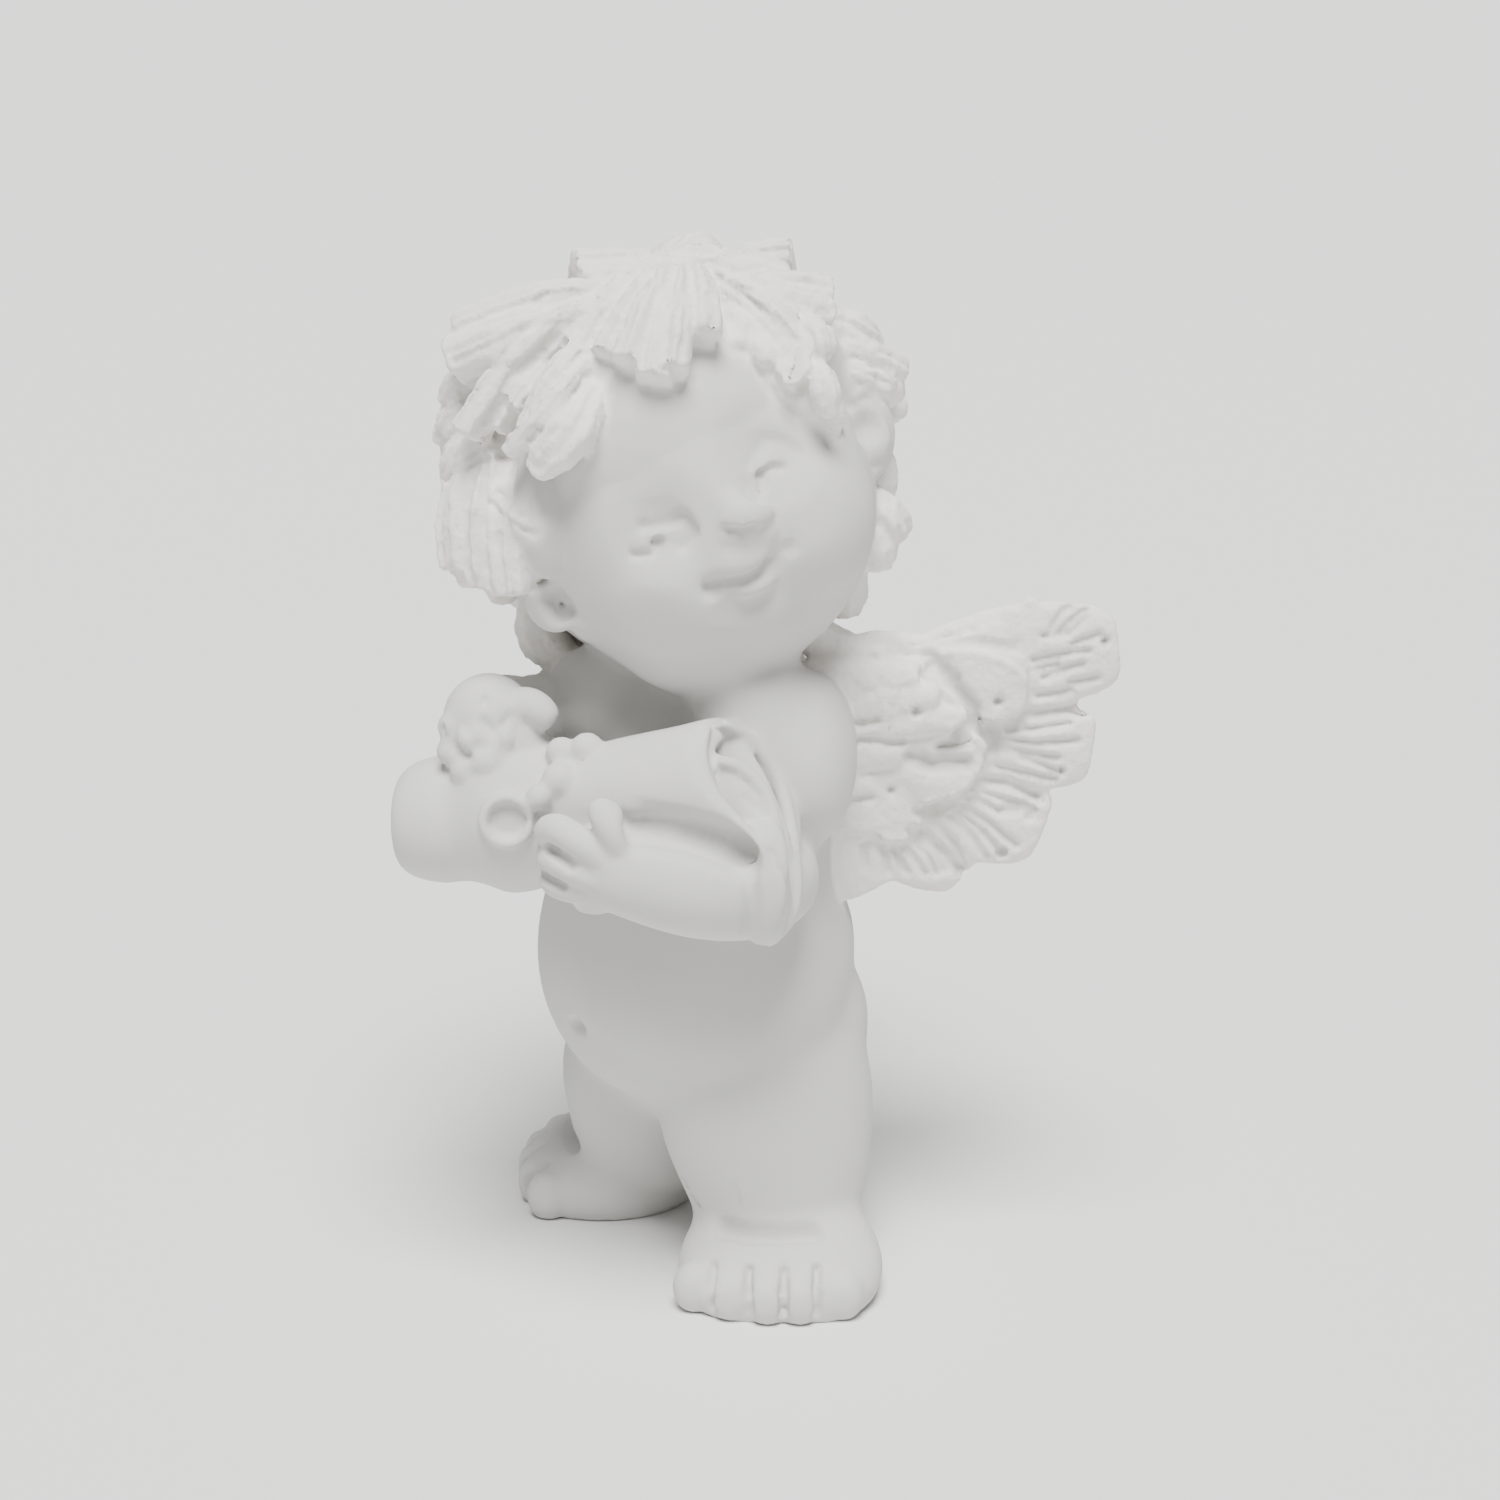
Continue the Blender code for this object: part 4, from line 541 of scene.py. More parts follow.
# %% Wings
FEATHERS = (
    ("arm", ((9, 64.0, 0), (17, 59.8, 0.3), (24, 61.4, 0.2), (31, 64.2, 0)), (2.8, 2.4, 2.2, 1.8), 1.7,
     0.36),
    ("plate", ((8, 54, 0), (18, 52.5, 0), (30, 53, 0)), (10.5, 11.0, 9.6), 1.2, 0.3),
    ("long 1", ((17, 57.5, -0.2), (29, 60.6, -0.1), (40.0, 61.9, 0.2)), (4.0, 5.2, 5.4), 1.2, 0.4),
    ("long 2", ((16, 53.5, 0.1), (28, 53.0, 0.1), (37.8, 51.8, 0.3)), (4.0, 5.4, 4.9), 1.2, 0.34),
    ("long 3", ((14, 50, 0.2), (24, 46.8, 0.2), (33.2, 43.4, 0.2)), (4.0, 5.8, 5.2), 1.2, 0.36),
    ("long 4", ((10, 50, 0), (14.6, 44.5, 0.1), (18.4, 38.2, 0.1)), (5.0, 6.8, 6.6), 1.2, 0.3),
    ("long 5", ((12, 50, 0.1), (19.6, 44.5, 0.1), (26.2, 39.4, 0.1)), (5.0, 6.0, 4.8), 1.1, 0.34),
    ("covert 1", ((19, 58.4, 1.0), (26, 58.4, 1.6), (31.7, 57.8, 1.5)), (3.4, 4.2, 3.9), 1.1, 0.42),
    ("covert 2", ((16.6, 53.6, 1.0), (22.0, 51.4, 1.7), (27.2, 49.0, 1.5)), (3.2, 4.4, 3.8), 1.1, 0.42),
    ("covert 3", ((12, 50.4, 1.0), (16.6, 47.2, 1.3), (21.2, 43.6, 1.1)), (3.4, 4.2, 3.6), 1.1, 0.42),
    ("row 1", ((9, 58.6, 1.6), (15, 59.4, 2.4), (20.8, 59.6, 2.3)), (3.0, 2.0, 1.5), 1.3, 0.2),
    ("row 2", ((10, 56.6, 1.6), (17, 57.2, 2.5), (22.8, 57.8, 2.4)), (3.0, 2.1, 1.4), 1.3, 0.2),
    ("row 3", ((10, 54.4, 1.5), (18, 55.2, 2.4), (25.8, 55.6, 2.2)), (2.6, 2.0, 1.3), 1.2, 0.3),
    ("row 4", ((10, 51.0, 1.4), (16, 52.4, 2.1), (20.8, 52.0, 1.8)), (2.8, 2.2, 1.5), 1.2, 0.3),
    ("row 5", ((10, 48.4, 1.2), (13.6, 48.8, 1.7), (17.0, 48.6, 1.6)), (2.2, 1.8, 1.4), 1.2, 0.3),
    ("crumb 1", ((28.4, 63.4, 0.2), (29.4, 65.0, 0.2), (29.8, 65.9, 0.2)), (1.0, 1.0, 0.8), 0.9, 0.3),
    ("crumb 2", ((30.8, 64.2, 0), (31.4, 66.0, 0), (31.5, 66.9, 0)), (0.8, 0.8, 0.5), 0.7, 0.3),
)
wings = []
for name, places, widths, thickness, blunt in FEATHERS:
    feather = form("feather " + name, [on_wing(*place) for place in places],
                   [(width, thickness) for width in widths],
                   facing=WING_FRONT, around=36, along=24, ends=(0.5, blunt), square=0.8)
    wings += [feather, mirrored(feather)]
print(len(wings), "feather forms")

# %% [markdown]
# Before everything is fused the rough forms are remembered in one search tree, so that later
# steps can tell hair and feathers from bare skin. Then the second, finer fuse makes the whole
# angel a single closed body, and any loose pocket left inside it is thrown away.

# %% Fuse the crisp parts on
from mathutils.bvhtree import BVHTree

points, faces = [], []
for piece in hair + wings:
    start = len(points)
    points += [vertex.co.copy() for vertex in piece.data.vertices]
    faces += [[start + index for index in face.vertices] for face in piece.data.polygons]
rough_tree = BVHTree.FromPolygons(points, faces)
angel = fuse("angel", [angel] + crisp + padding + hair + wings, CRISP_VOXEL, 1)
bpy.ops.object.select_all(action="DESELECT")
angel.select_set(True)
bpy.ops.object.mode_set(mode="EDIT")
bpy.ops.mesh.select_all(action="SELECT")
bpy.ops.mesh.separate(type="LOOSE")
bpy.ops.object.mode_set(mode="OBJECT")
angel = max(bpy.context.selected_objects, key=lambda piece: len(piece.data.polygons))
for pocket in [piece for piece in bpy.context.selected_objects if piece != angel]:
    bpy.data.objects.remove(pocket)
angel.name = "angel"
print("crisp skin has", len(angel.data.polygons), "faces")

# %% [markdown]
# Carving is one tool: push every vertex near a path in or out along its normal, fading to
# nothing at the edge of the stroke. A point makes a dimple, a short path makes a crease. It is a
# sculpt brush written down, so each stroke can be moved and repeated exactly. A few spots are
# smoothed first, so that the pieces joined on there blend into the skin.

# %% The carving stroke
def read_mesh(mesh):
    places = np.empty(len(mesh.vertices) * 3, np.float32)
    normals = np.empty(len(mesh.vertices) * 3, np.float32)
    mesh.vertices.foreach_get("co", places)
    mesh.vertex_normals.foreach_get("vector", normals)
    return places.reshape(-1, 3).astype(float), normals.reshape(-1, 3).astype(float)


def write_mesh(mesh, places):
    mesh.vertices.foreach_set("co", places.astype(np.float32).ravel())
    mesh.update()


def settle(path):
    line = np.array(path, float)
    places = [line[0]]
    for start, end in zip(line[:-1], line[1:]):
        steps = max(1, round(np.linalg.norm(end - start) / STROKE_STEP))
        places += [start + (end - start) * step / steps for step in range(1, steps + 1)]
    return [np.array(skin_tree.find_nearest(place)[0]) for place in places]


def stroke(path, reach, amount):
    mesh = angel.data
    places, normals = read_mesh(mesh)
    line = np.array(settle(path), float)
    near = np.flatnonzero(((places > line.min(0) - reach) & (places < line.max(0) + reach)).all(1))
    here = places[near]
    distance = np.linalg.norm(here - line[0], axis=1)
    for start, end in zip(line[:-1], line[1:]):
        run = end - start
        share = np.clip((here - start) @ run / max(run @ run, 1e-9), 0, 1)
        distance = np.minimum(distance, np.linalg.norm(here - start - share[:, None] * run, axis=1))
    fade = np.clip(1 - (distance / reach) ** 2, 0, 1) ** 2
    places[near] += normals[near] * (fade * amount)[:, None]
    write_mesh(mesh, places)


def soften_near(spots, passes):
    group = angel.vertex_groups.new(name="soft spots")
    places, normals = read_mesh(angel.data)
    weight = np.zeros(len(places))
    for middle, reach in spots:
        nearness = 2 - 2 * np.linalg.norm(places - middle, axis=1) / reach
        weight = np.maximum(weight, np.clip(nearness, 0, 1))
    for index in np.flatnonzero(weight):
        group.add([int(index)], float(weight[index]), "REPLACE")
    soften = angel.modifiers.new("soften", "SMOOTH")
    soften.factor = 0.5
    soften.iterations = passes
    soften.vertex_group = group.name
    bpy.context.view_layer.objects.active = angel
    bpy.ops.object.modifier_apply(modifier="soften")


STROKE_STEP = 0.6         # spacing of the places at which a path is settled onto the surface
SPOT_PASSES = 7
# mouth and nose, left hand, right fist, the sheet over the forearm, right ear: middle and reach
SOFT_SPOTS = [(on_head(0, -14, 17.0), 11.0), (on_front(-9.0, 47.0, 22.0), 9.0),
              (on_front(-19.0, 56.5, 11.0), 8.0), (on_front(5.0, 47.0, 22.0), 8.0),
              (on_head(-75, -10, 18.5), 8.0)]
soften_near(SOFT_SPOTS, SPOT_PASSES)
skin_tree = BVHTree.FromObject(angel, bpy.context.evaluated_depsgraph_get())
print("one stroke moves only the vertices within its reach")

# %% [markdown]
# The face is nearly asleep: shallow sockets, lids bulging in them, an arched crease above and a
# dark slit below each lid. The mouth is one smiling groove between two soft lips, with a wedge
# below its right corner and a dimple at its left one. Most strokes are less than a millimetre
# deep and the deepest a little more, and that is enough in raking light.

# %% Face
FACE = 17.6               # distance from the head's middle at which a path on the face is laid


def face_stroke(path, reach, amount):
    stroke([on_head(*place, FACE) for place in path], reach, amount)


EYES = (
    # socket, lid, deep inner corner, crease and its depth, lash line, pit
    ((-19.0, 0.2), (-20.6, -0.2), (-14.6, -3.6),
     ((-23.5, 3.0), (-20.6, 3.4), (-17.4, 2.4), (-15.2, -0.4), (-14.6, -3.6), (-17.0, -6.0)), 0.5,
     ((-30.6, -3.2), (-27.0, -4.4), (-23.2, -4.8), (-20.4, -4.8)), (-22.4, -4.8)),
    ((20.4, 4.0), (20.4, 4.0), (13.4, -0.8),
     ((16.6, 6.0), (19.8, 8.4), (24.2, 8.6), (28.4, 6.2), (31.4, 2.4)), 0.26,
     ((14.6, -1.2), (18.4, -0.6), (22.6, 0.4), (25.6, 1.2)), (18.0, -0.5)))
for socket, lid, corner, crease, depth, lash, pit in EYES:
    face_stroke([socket], 6.0, -1.2)
    face_stroke(crease[1:], 2.4, -depth)
    face_stroke([corner], 1.8, -0.5)
    face_stroke([lid], 2.2, 0.7)
# the fine strokes start from the surface as the broad ones have left it
skin_tree = BVHTree.FromObject(angel, bpy.context.evaluated_depsgraph_get())
for socket, lid, corner, crease, depth, lash, pit in EYES:
    face_stroke(crease, 1.0, -depth)
    face_stroke(lash, 0.75, -0.6)
    face_stroke([pit], 0.85, -0.9)
MOUTH = ((-13.8, -23.4), (-9.8, -25.6), (-3.6, -26.8), (3.0, -26.8), (8.6, -25.8))
for path, reach, amount in (
        (((-2.1, -9.8), (1.9, -10.4), (5.9, -10.4)), 0.8, -0.45),  # under the nose
        (((-0.5, -9.2),), 0.6, 0.25),  # rims of the nostrils
        (((4.0, -9.4),), 0.6, 0.25),
        (MOUTH, 1.9, -0.3),
        (MOUTH, 0.9, -0.85),
        (((-13.4, -25.4),), 1.4, -0.5),  # wedge at the right corner
        (((14.8, -24.0),), 1.2, -0.45),  # dimple at the left one
        (((20.0, -18.8), (27.0, -17.4)), 2.8, -0.25),  # fold of the left cheek
        (((-13.0, -33.0), (-7.0, -36.0), (1.0, -36.4)), 2.2, -0.35),  # fold over the chin
        (((-36, -26),), 4.4, -0.4),  # flat of the right cheek
        (((-70, -6), (-70, -10)), 1.7, -1.3),  # bowls of the two ears
        (((73.4, -1.5),), 2.4, -1.0)):
    face_stroke(path, reach, amount)
print("face carved")

# %% [markdown]
# The locks were dragged with a pointed tool before the mould was made, so thin scratches run down
# them at uneven spacing. Each grooved lock gets up to three, one near its middle and one to either
# side, and the part of a scratch that would fall on bare skin is left out.

# %% Scratches down the locks
SCRATCH_REACH = 0.55
SCRATCH_DEPTH = 0.32
SKIN_REACH = 19.0         # nearer the head's middle than this there is only skin
for number, (path, width, thickness, blunt, grooves) in enumerate(FRONT_LOCKS):
    path = np.array([on_head(*place) for place in path])
    facing = unit(unit(path[len(path) // 2] - HEAD_CENTRE) + AHEAD * 1.2)
    beside = unit(np.cross(path[-1] - path[0], facing))
    for turn in range(3 if grooves else 0):
        offset = width * (0.55 * (turn - 1) + 0.2 * sin(2.3 * number + 1.7 * turn))
        line = path + beside * offset + facing * thickness
        near = [place for place in settle(line[turn % 2:])
                if np.linalg.norm(place - HEAD_CENTRE) > SKIN_REACH]
        if len(near) > 2:
            stroke(near, SCRATCH_REACH, -SCRATCH_DEPTH)
print("locks scratched")

# %% [markdown]
# The body needs little: a navel, the fold where the belly meets the thigh, gaps between the
# fingers, creases in the fist, and edges and folds on the rolled sheet. A few hair-fine nicks are
# scattered over hand, scroll and foot. The toe grooves run from the top of each foot down its
# front, and a soft crease marks each ankle.

# %% Body, hand and feet
stroke([on_front(-12.6, 26.2, 11)], 1.4, -1.0)
stroke([on_front(-13.4, 26.8, 11)], 1.0, 0.3)
stroke(along_front([(-13.2, 25.6, 12), (-9.6, 22.2, 16), (-5.5, 20.2, 18)]), 2.8, -0.22)
for gap in (((-13.2, 48.5, 21.8), (-11.2, 47.1, 22.8)), ((-14.0, 46.0, 20.8), (-11.9, 45.3, 22.0))):
    stroke(along_front(gap), 0.9, -0.6)
VALLEY = ((-5.2, 50.1, 22.5), (-2.3, 49.0, 22.5), (0.6, 48.0, 22.5), (2.6, 46.8, 22.5))
stroke(along_front(VALLEY), 3.2, -1.4)
ROLL_EDGE = ((-7.7, 52.4, 22.5), (-4.7, 51.6, 22.5), (-1.3, 51.3, 22.5), (1.9, 50.9, 22.5),
             (4.6, 49.5, 22.5))
stroke(along_front(ROLL_EDGE), 1.5, 0.6)
FLAP_EDGE = ((5.9, 49.5, 24.5), (5.2, 47.9, 24.5), (5.0, 45.1, 24.5), (4.7, 42.1, 24.5))
stroke(along_front(FLAP_EDGE[1:]), 1.2, -0.45)
FOLDS = (((6.5, 49.3, 24.5), (7.6, 47.0, 24.5), (7.9, 44.7, 24.5), (7.5, 42.1, 24.5)),
         ((5.0, 54.3, 22.5), (6.6, 52.4, 22.5), (7.8, 49.5, 22.5), (8.5, 46.8, 22.5)))
for fold in FOLDS:
    stroke(along_front(fold), 0.6, -0.3)
for nick in (((-2.3, 50.1, 26), (-2.0, 50.7, 26), (-1.3, 51.0, 26), (-0.6, 50.9, 26)),
             ((0.2, 11.3, 9.5), (0.5, 10.5, 9.5)),
             ((0.7, 9.5, 9.5), (1.5, 9.3, 9.5), (2.3, 8.7, 9.5)),
             ((-19.7, 60.5, 13), (-19.7, 59.8, 13)),
             ((-23.4, 57.2, 12), (-23.2, 56.8, 12))):
    stroke(along_front(nick), 0.5, -0.45)
# how far each toe groove runs ahead of its start, and its height above the floor
TOE_GROOVE = ((0.0, 5.0), (1.0, 3.9), (2.1, 2.6), (2.1, 1.1))
ANKLE = ((-5.8, 5.8), (-2.9, 7.0), (0.0, 7.1), (3.4, 6.4))
for side in (1, -1):
    for across, start in ((-6.4, 9.3), (-2.8, 10.3), (0.6, 10.4), (3.7, 9.9)):
        stroke([on_foot(side, across, start + run, up) for run, up in TOE_GROOVE], 0.65, -1.0)
    stroke([on_foot(side, across, ahead, 7.2) for across, ahead in ANKLE], 1.5, -1.2)
for crease in (((-19.7, 58.3, 14), (-18.8, 57.2, 14), (-18.1, 56.0, 14)),
               ((-21.9, 58.3, 14), (-21.0, 57.0, 14), (-20.2, 55.7, 14)),
               ((-22.8, 55.6, 13.5), (-21.9, 55.6, 13.5), (-20.9, 55.2, 13.5)),
               ((-17.8, 57.9, 13.5), (-17.0, 58.7, 13.5))):
    stroke(along_front(crease), 0.8, -0.3)
print("body carved")

# %% [markdown]
# The feathers are gouged: long grooves between the main feathers, fine ones fanning towards each
# tip, a step down round each short feather, and a few pits where air was caught in the mould.
# Every stroke is made on both wings; the back face gets the long grooves and every second gouge.

# %% Feather gouges
SPLITS = (((28.0, 54.6), (31.5, 55.3), (34.1, 55.7), (37.2, 56.2)),
          ((26.6, 48.8), (29.6, 48.5), (32.7, 47.1)),
          ((20.5, 44.0), (23.5, 41.4), (25.6, 39.0)))
GOUGES = (
    ((33.5, 64.1), (34.5, 65.9), (35.4, 66.8)), ((34.2, 63.7), (35.8, 65.4), (36.9, 66.3)),
    ((32.7, 63.2), (35.2, 63.5), (36.5, 65.0)),
    ((31.9, 60.8), (34.5, 61.4), (37.0, 61.7)), ((32.8, 59.0), (35.3, 60.1), (36.4, 60.4)),
    ((32.4, 57.2), (35.4, 57.5)),
    ((35.4, 58.4), (37.9, 58.9)), ((32.0, 59.9), (34.0, 60.3)), ((35.6, 62.4), (38.0, 63.4)),
    ((31.8, 55.7), (34.2, 55.8), (36.7, 56.4)), ((28.4, 54.1), (31.7, 54.0), (35.5, 54.6)),
    ((28.0, 52.3), (30.9, 51.6), (34.3, 51.0)),
    ((30.9, 51.2), (33.9, 49.8)), ((28.7, 53.0), (32.1, 52.5), (36.2, 52.8)),
    ((28.0, 50.2), (31.4, 49.4), (34.2, 48.6)),
    ((26.2, 47.1), (28.8, 45.7), (31.9, 45.7)), ((25.4, 46.2), (28.0, 44.4), (30.6, 42.1)),
    ((24.1, 45.3), (26.3, 43.0), (27.6, 40.7)),
    ((22.8, 44.4), (24.6, 42.1), (25.5, 40.0)), ((22.0, 43.0), (23.3, 41.2), (23.8, 39.5)),
    ((17.2, 42.5), (18.1, 40.7), (18.3, 39.3)),
    ((19.8, 42.1), (21.1, 40.2), (21.8, 39.1)), ((29.7, 46.4), (31.6, 46.3)),
    ((15.7, 42.1), (15.9, 40.2)), ((27.1, 47.6), (30.1, 46.6), (32.3, 45.7)),
    ((24.8, 45.6), (27.2, 43.6), (29.2, 41.2)), ((20.8, 42.6), (22.2, 40.8), (22.8, 39.2)),
    ((18.4, 42.2), (19.5, 40.4), (20.0, 39.2)),
    ((14.2, 48.0), (16.4, 47.4)), ((13.6, 53.2), (16.8, 53.6), (19.0, 53.4)),
    ((14.0, 55.2), (17.0, 55.8)), ((20.0, 63.0), (23.0, 63.6), (26.0, 64.2)))
# the free edge of each short feather, from its upper end round to its lower end, and how deep
# the step down to the feather behind it is
LEDGES = (
    (((18.3, 61.7), (20.2, 61.3), (21.6, 60.9), (22.1, 59.5), (23.9, 58.1), (25.3, 56.6), (25.2, 55.5),
      (23.9, 54.7)), (18.0, 56.5), 0.9),
    (((23.4, 62.4), (26.4, 62.2), (29.3, 61.5), (31.4, 59.3), (31.7, 57.0), (30.3, 55.0), (27.8, 54.8),
      (25.6, 55.1)), (26.5, 58.6), 0.6),
    (((25.9, 54.2), (27.7, 53.2), (27.8, 51.6), (26.4, 48.9), (24.1, 47.1), (21.5, 46.4)), (22.5, 51.0),
     0.9),
    (((22.1, 45.7), (21.2, 43.4), (19.4, 42.4), (16.8, 42.9)), (18.6, 46.0), 0.4))
HOLLOWS = (((20.3, 51.6), (22.3, 50.8), (25.3, 51.0)), ((23.3, 52.4), (25.2, 53.2)),
           ((22.4, 60.6), (23.8, 59.4)))
PITS = ((38.7, 62.7), (20.6, 56.5), (18.4, 48.1), (17.0, 43.2), (18.4, 61.8), (16.6, 60.6), (31.9, 45.0),
        (29.2, 41.1), (34.7, 49.5), (28.4, 57.1))


def wing_stroke(side, path, lift, reach, amount):
    stroke([on_wing(*place, lift) * (side, 1, 1) for place in path], reach, amount)


for side in (1, -1):
    for path in SPLITS:
        wing_stroke(side, path, 1.6, 1.0, -0.8)
        wing_stroke(side, path, -1.6, 1.4, -0.6)
    for path, middle, depth in LEDGES:
        spokes = [unit(np.subtract(place, middle)) for place in path]
        outside = [np.add(place, spoke * 0.7) for place, spoke in zip(path, spokes)]
        inside = [np.subtract(place, spoke * 0.3) for place, spoke in zip(path, spokes)]
        wing_stroke(side, outside, 2.2, 1.2, -depth)
        wing_stroke(side, inside, 2.4, 0.7, 0.35)
    for path in GOUGES:
        wing_stroke(side, path, 1.6, 0.65, -0.5)
    for path in GOUGES[::2]:
        wing_stroke(side, path, -1.6, 1.0, -0.4)
    for path in HOLLOWS:
        wing_stroke(side, path, 2.4, 1.3, -1.1)
    for place in PITS:
        wing_stroke(side, [place], 2.0, 0.75, -0.9)
print("feathers carved")

# %% [markdown]
# Now the surface is measured for roughness: 1 on hair and feathers, 0 on skin. Rough parts get a
# fine uneven displacement, as plaster has where it left a carved mould. The head is rougher than
# the wings.

# %% Rough hair and feathers
ROUGH_SEARCH = 1.6        # how far off a rough form is looked for
ROUGH_FADE = 0.9          # distance from a rough form at which roughness has faded to nothing
HEAD_REACH = 28           # a rough part this near the head's middle is hair, the others are feathers
HAIR_WEAR, WING_WEAR = 0.3, 0.14


def roughness(places):
    rough = np.zeros(len(places))
    for index, place in enumerate(places):
        hit = rough_tree.find_nearest(place, ROUGH_SEARCH)
        if hit[0] is not None:
            rough[index] = max(0.0, 1 - hit[3] / ROUGH_FADE)
    return rough


places, normals = read_mesh(angel.data)
rough = roughness(places)
worn = np.array([noise.noise(Vector(place) * 0.9) * 0.6 + noise.noise(Vector(place) * 2.2) * 0.4
                 for place in places])
on_hair = np.linalg.norm(places - HEAD_CENTRE, axis=1) < HEAD_REACH
places += normals * (worn * rough * np.where(on_hair, HAIR_WEAR, WING_WEAR))[:, None]
write_mesh(angel.data, places)
print("rough share of the surface", round(float(rough.mean()), 2))

# %% [markdown]
# The mesh is thinned to its budget, flat parts most, then brought to size: shares become metres
# and the plan is centred. The feet are drawn about 3 mm too deep, and whatever reaches outside
# the CAD solid's box is pressed back onto it, which makes the soles dead flat.

# %% Thin, size and flatten
thin = angel.modifiers.new("thin", "DECIMATE")
thin.ratio = min(1.0, TRIANGLES / (2 * len(angel.data.polygons)))
bpy.context.view_layer.objects.active = angel
bpy.ops.object.modifier_apply(modifier="thin")
places, normals = read_mesh(angel.data)
places = (places + (*PLAN_SHIFT, 0.0)) * UNIT
low, high = np.array(CAD_BOX[0]), np.array(CAD_BOX[1])
print("outside the CAD box by mm", ((low - places.min(0)) * 1000).round(2),
      ((places.max(0) - high) * 1000).round(2))
places = np.clip(places, low, high)
write_mesh(angel.data, places)
bpy.ops.object.shade_smooth()
print(sum(len(face.vertices) - 2 for face in angel.data.polygons), "triangles")

# %% [markdown]
# The roughness value is found again for the thinned mesh and kept as an attribute. It is cheap,
# and it spares the material from guessing where hair ends and skin begins.

# %% Store the roughness on the mesh
layer = angel.data.attributes.new("rough", "FLOAT", "POINT")
values = roughness(places / UNIT - (*PLAN_SHIFT, 0.0)).astype(np.float32)
layer.data.foreach_set("value", values)
print("stored", len(values), "values")

# %% [markdown]
# Plaster is matt and very faintly uneven. The hair and wings are painted lighter than the skin, a
# painted highlight for the overhead light on the hair, and a touch warmer. Fine grain everywhere and
# small lumps on the rough parts are bump only, because they are smaller than the mesh can hold.

# %% Plaster
def colour(code):
    channels = [int(code[place:place + 2], 16) / 255 for place in (1, 3, 5)]
    return tuple(value / 12.92 if value <= 0.04045 else ((value + 0.055) / 1.055) ** 2.4
                 for value in channels) + (1.0,)


def add(tree, kind, **settings):
    node = tree.nodes.new(kind)
    for name, value in settings.items():
        if name in node.inputs:
            node.inputs[name].default_value = value
        else:
            setattr(node, name, value)
    return node


plaster = bpy.data.materials.new("cast plaster")
plaster.use_nodes = True
tree = plaster.node_tree
shader = tree.nodes["Principled BSDF"]
shader.inputs["Roughness"].default_value = 0.88
shader.inputs["IOR"].default_value = 1.52
shader.inputs["Specular IOR Level"].default_value = 0.35
coords = add(tree, "ShaderNodeTexCoord")
mask = add(tree, "ShaderNodeAttribute", attribute_name="rough")
cloud = add(tree, "ShaderNodeTexNoise", Scale=180.0, Detail=3.0)
# the rough mask mixes in the lighter hair and wing colour: painted highlight for the overhead light on the
# hair
painted_hair_highlight = add(tree, "ShaderNodeMix", data_type="RGBA")
painted_hair_highlight.inputs[6].default_value = colour("#CDCCC9")
painted_hair_highlight.inputs[7].default_value = colour("#F0EDE8")
shade = add(tree, "ShaderNodeMix", data_type="RGBA", blend_type="MULTIPLY")
shade.inputs[0].default_value = 1.0
ramp = add(tree, "ShaderNodeMapRange")
ramp.inputs["To Min"].default_value = 0.965
ramp.inputs["To Max"].default_value = 1.0
grain = add(tree, "ShaderNodeTexNoise", Scale=5200.0, Detail=2.0)
lumps = add(tree, "ShaderNodeTexNoise", Scale=900.0, Detail=4.0)
bump_fine = add(tree, "ShaderNodeBump", Strength=0.22, Distance=0.00006)
bump_lumps = add(tree, "ShaderNodeBump", Distance=0.00022)
link = tree.links.new
for texture in (cloud, grain, lumps):
    link(coords.outputs["Object"], texture.inputs["Vector"])
for source, outlet, node, inlet in (
        (mask, "Fac", painted_hair_highlight, 0), (cloud, "Fac", ramp, "Value"), (painted_hair_highlight, 2, shade, 6),
        (ramp, "Result", shade, 7), (shade, 2, shader, "Base Color"), (lumps, "Fac", bump_lumps, "Height"),
        (mask, "Fac", bump_lumps, "Strength"), (grain, "Fac", bump_fine, "Height"),
        (bump_lumps, "Normal", bump_fine, "Normal"), (bump_fine, "Normal", shader, "Normal")):
    link(source.outputs[outlet], node.inputs[inlet])
angel.data.materials.clear()
angel.data.materials.append(plaster)
print("plaster material has", len(tree.nodes), "nodes")

# %% [markdown]
# The angel replaces the CAD node in the picture and rides on the frame's only body.

# %% Tie the piece to the frame
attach(angel, "root")
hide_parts("angel_figurine")
print("tied to the frame")

# %% [markdown]
# A plain pale floor, one broad soft light from nearly overhead and a weak even surround: the
# light of a small white sweep. The camera stands to the angel's left and a little above, with a
# short telephoto lens.

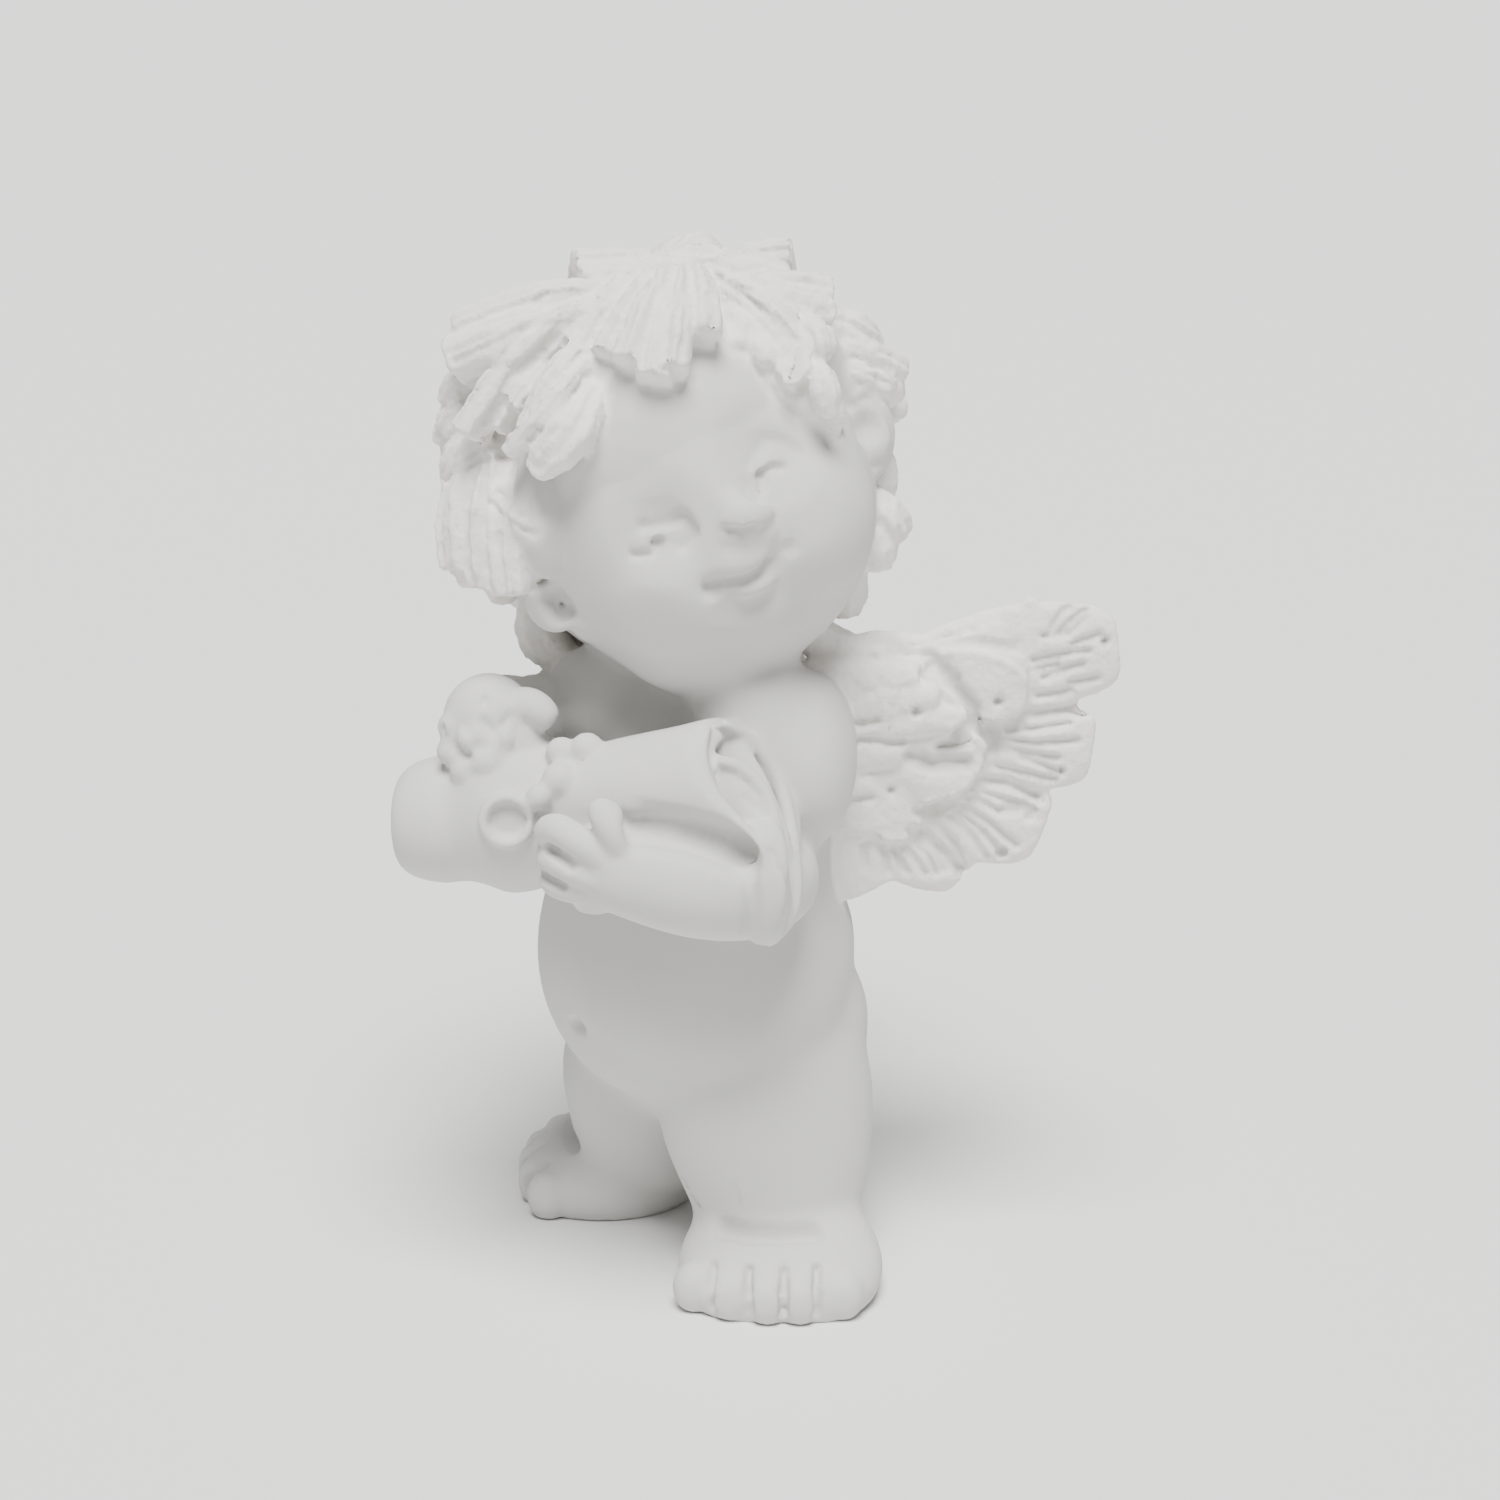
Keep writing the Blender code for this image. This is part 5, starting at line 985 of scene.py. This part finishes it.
# %% Floor, light and camera
CAMERA_AZIMUTH, CAMERA_LIFT, CAMERA_DISTANCE = radians(50), radians(18), 345.0
CAMERA_AIM = (3.1, 3.7, 51.0)       # the place it looks at
SENSOR, LENS = 36.0, 85.66          # millimetres
SUN_STRENGTH, SUN_SPREAD = 6.8, 30  # the spread is in degrees: the wider, the softer
SUN_AHEAD, SUN_UP = 0.36, 0.93      # the light comes from above and a little from the camera's side
SURROUND = 0.32
bpy.ops.mesh.primitive_plane_add(size=4.0, location=(0, 0, 0))
floor = bpy.context.object
floor.name = "floor"
paper = bpy.data.materials.new("white paper")
paper.use_nodes = True
paper.node_tree.nodes["Principled BSDF"].inputs["Base Color"].default_value = colour("#E6E6E4")
paper.node_tree.nodes["Principled BSDF"].inputs["Roughness"].default_value = 0.9
floor.data.materials.append(paper)
world = bpy.data.worlds.new("studio")
bpy.context.scene.world = world
world.use_nodes = True
world.node_tree.nodes["Background"].inputs["Color"].default_value = (1.0, 1.0, 1.0, 1.0)
world.node_tree.nodes["Background"].inputs["Strength"].default_value = SURROUND
back = Vector((sin(CAMERA_AZIMUTH) * cos(CAMERA_LIFT), -cos(CAMERA_AZIMUTH) * cos(CAMERA_LIFT),
               sin(CAMERA_LIFT)))
target = (Vector(CAMERA_AIM) + Vector((*PLAN_SHIFT, 0.0))) * UNIT


def sun(name, towards, strength, angle):
    bpy.ops.object.light_add(type="SUN", location=target + towards * 0.3)
    light = bpy.context.object
    light.name = name
    light.data.energy = strength
    light.data.angle = radians(angle)
    light.rotation_euler = towards.to_track_quat("Z", "Y").to_euler()


ahead = Vector((back.x, back.y, 0.0)).normalized()
sun("key", ahead * SUN_AHEAD + Vector((0, 0, SUN_UP)), SUN_STRENGTH, SUN_SPREAD)
eye = bpy.data.cameras.new("camera")
camera = bpy.data.objects.new("camera", eye)
bpy.context.scene.collection.objects.link(camera)
camera.location = target + back * CAMERA_DISTANCE * UNIT
camera.rotation_euler = (-back).to_track_quat("-Z", "Y").to_euler()
eye.sensor_width = SENSOR
eye.lens = LENS
eye.clip_start = 0.01
bpy.context.scene.camera = camera
print("camera at", [round(value, 3) for value in camera.location])
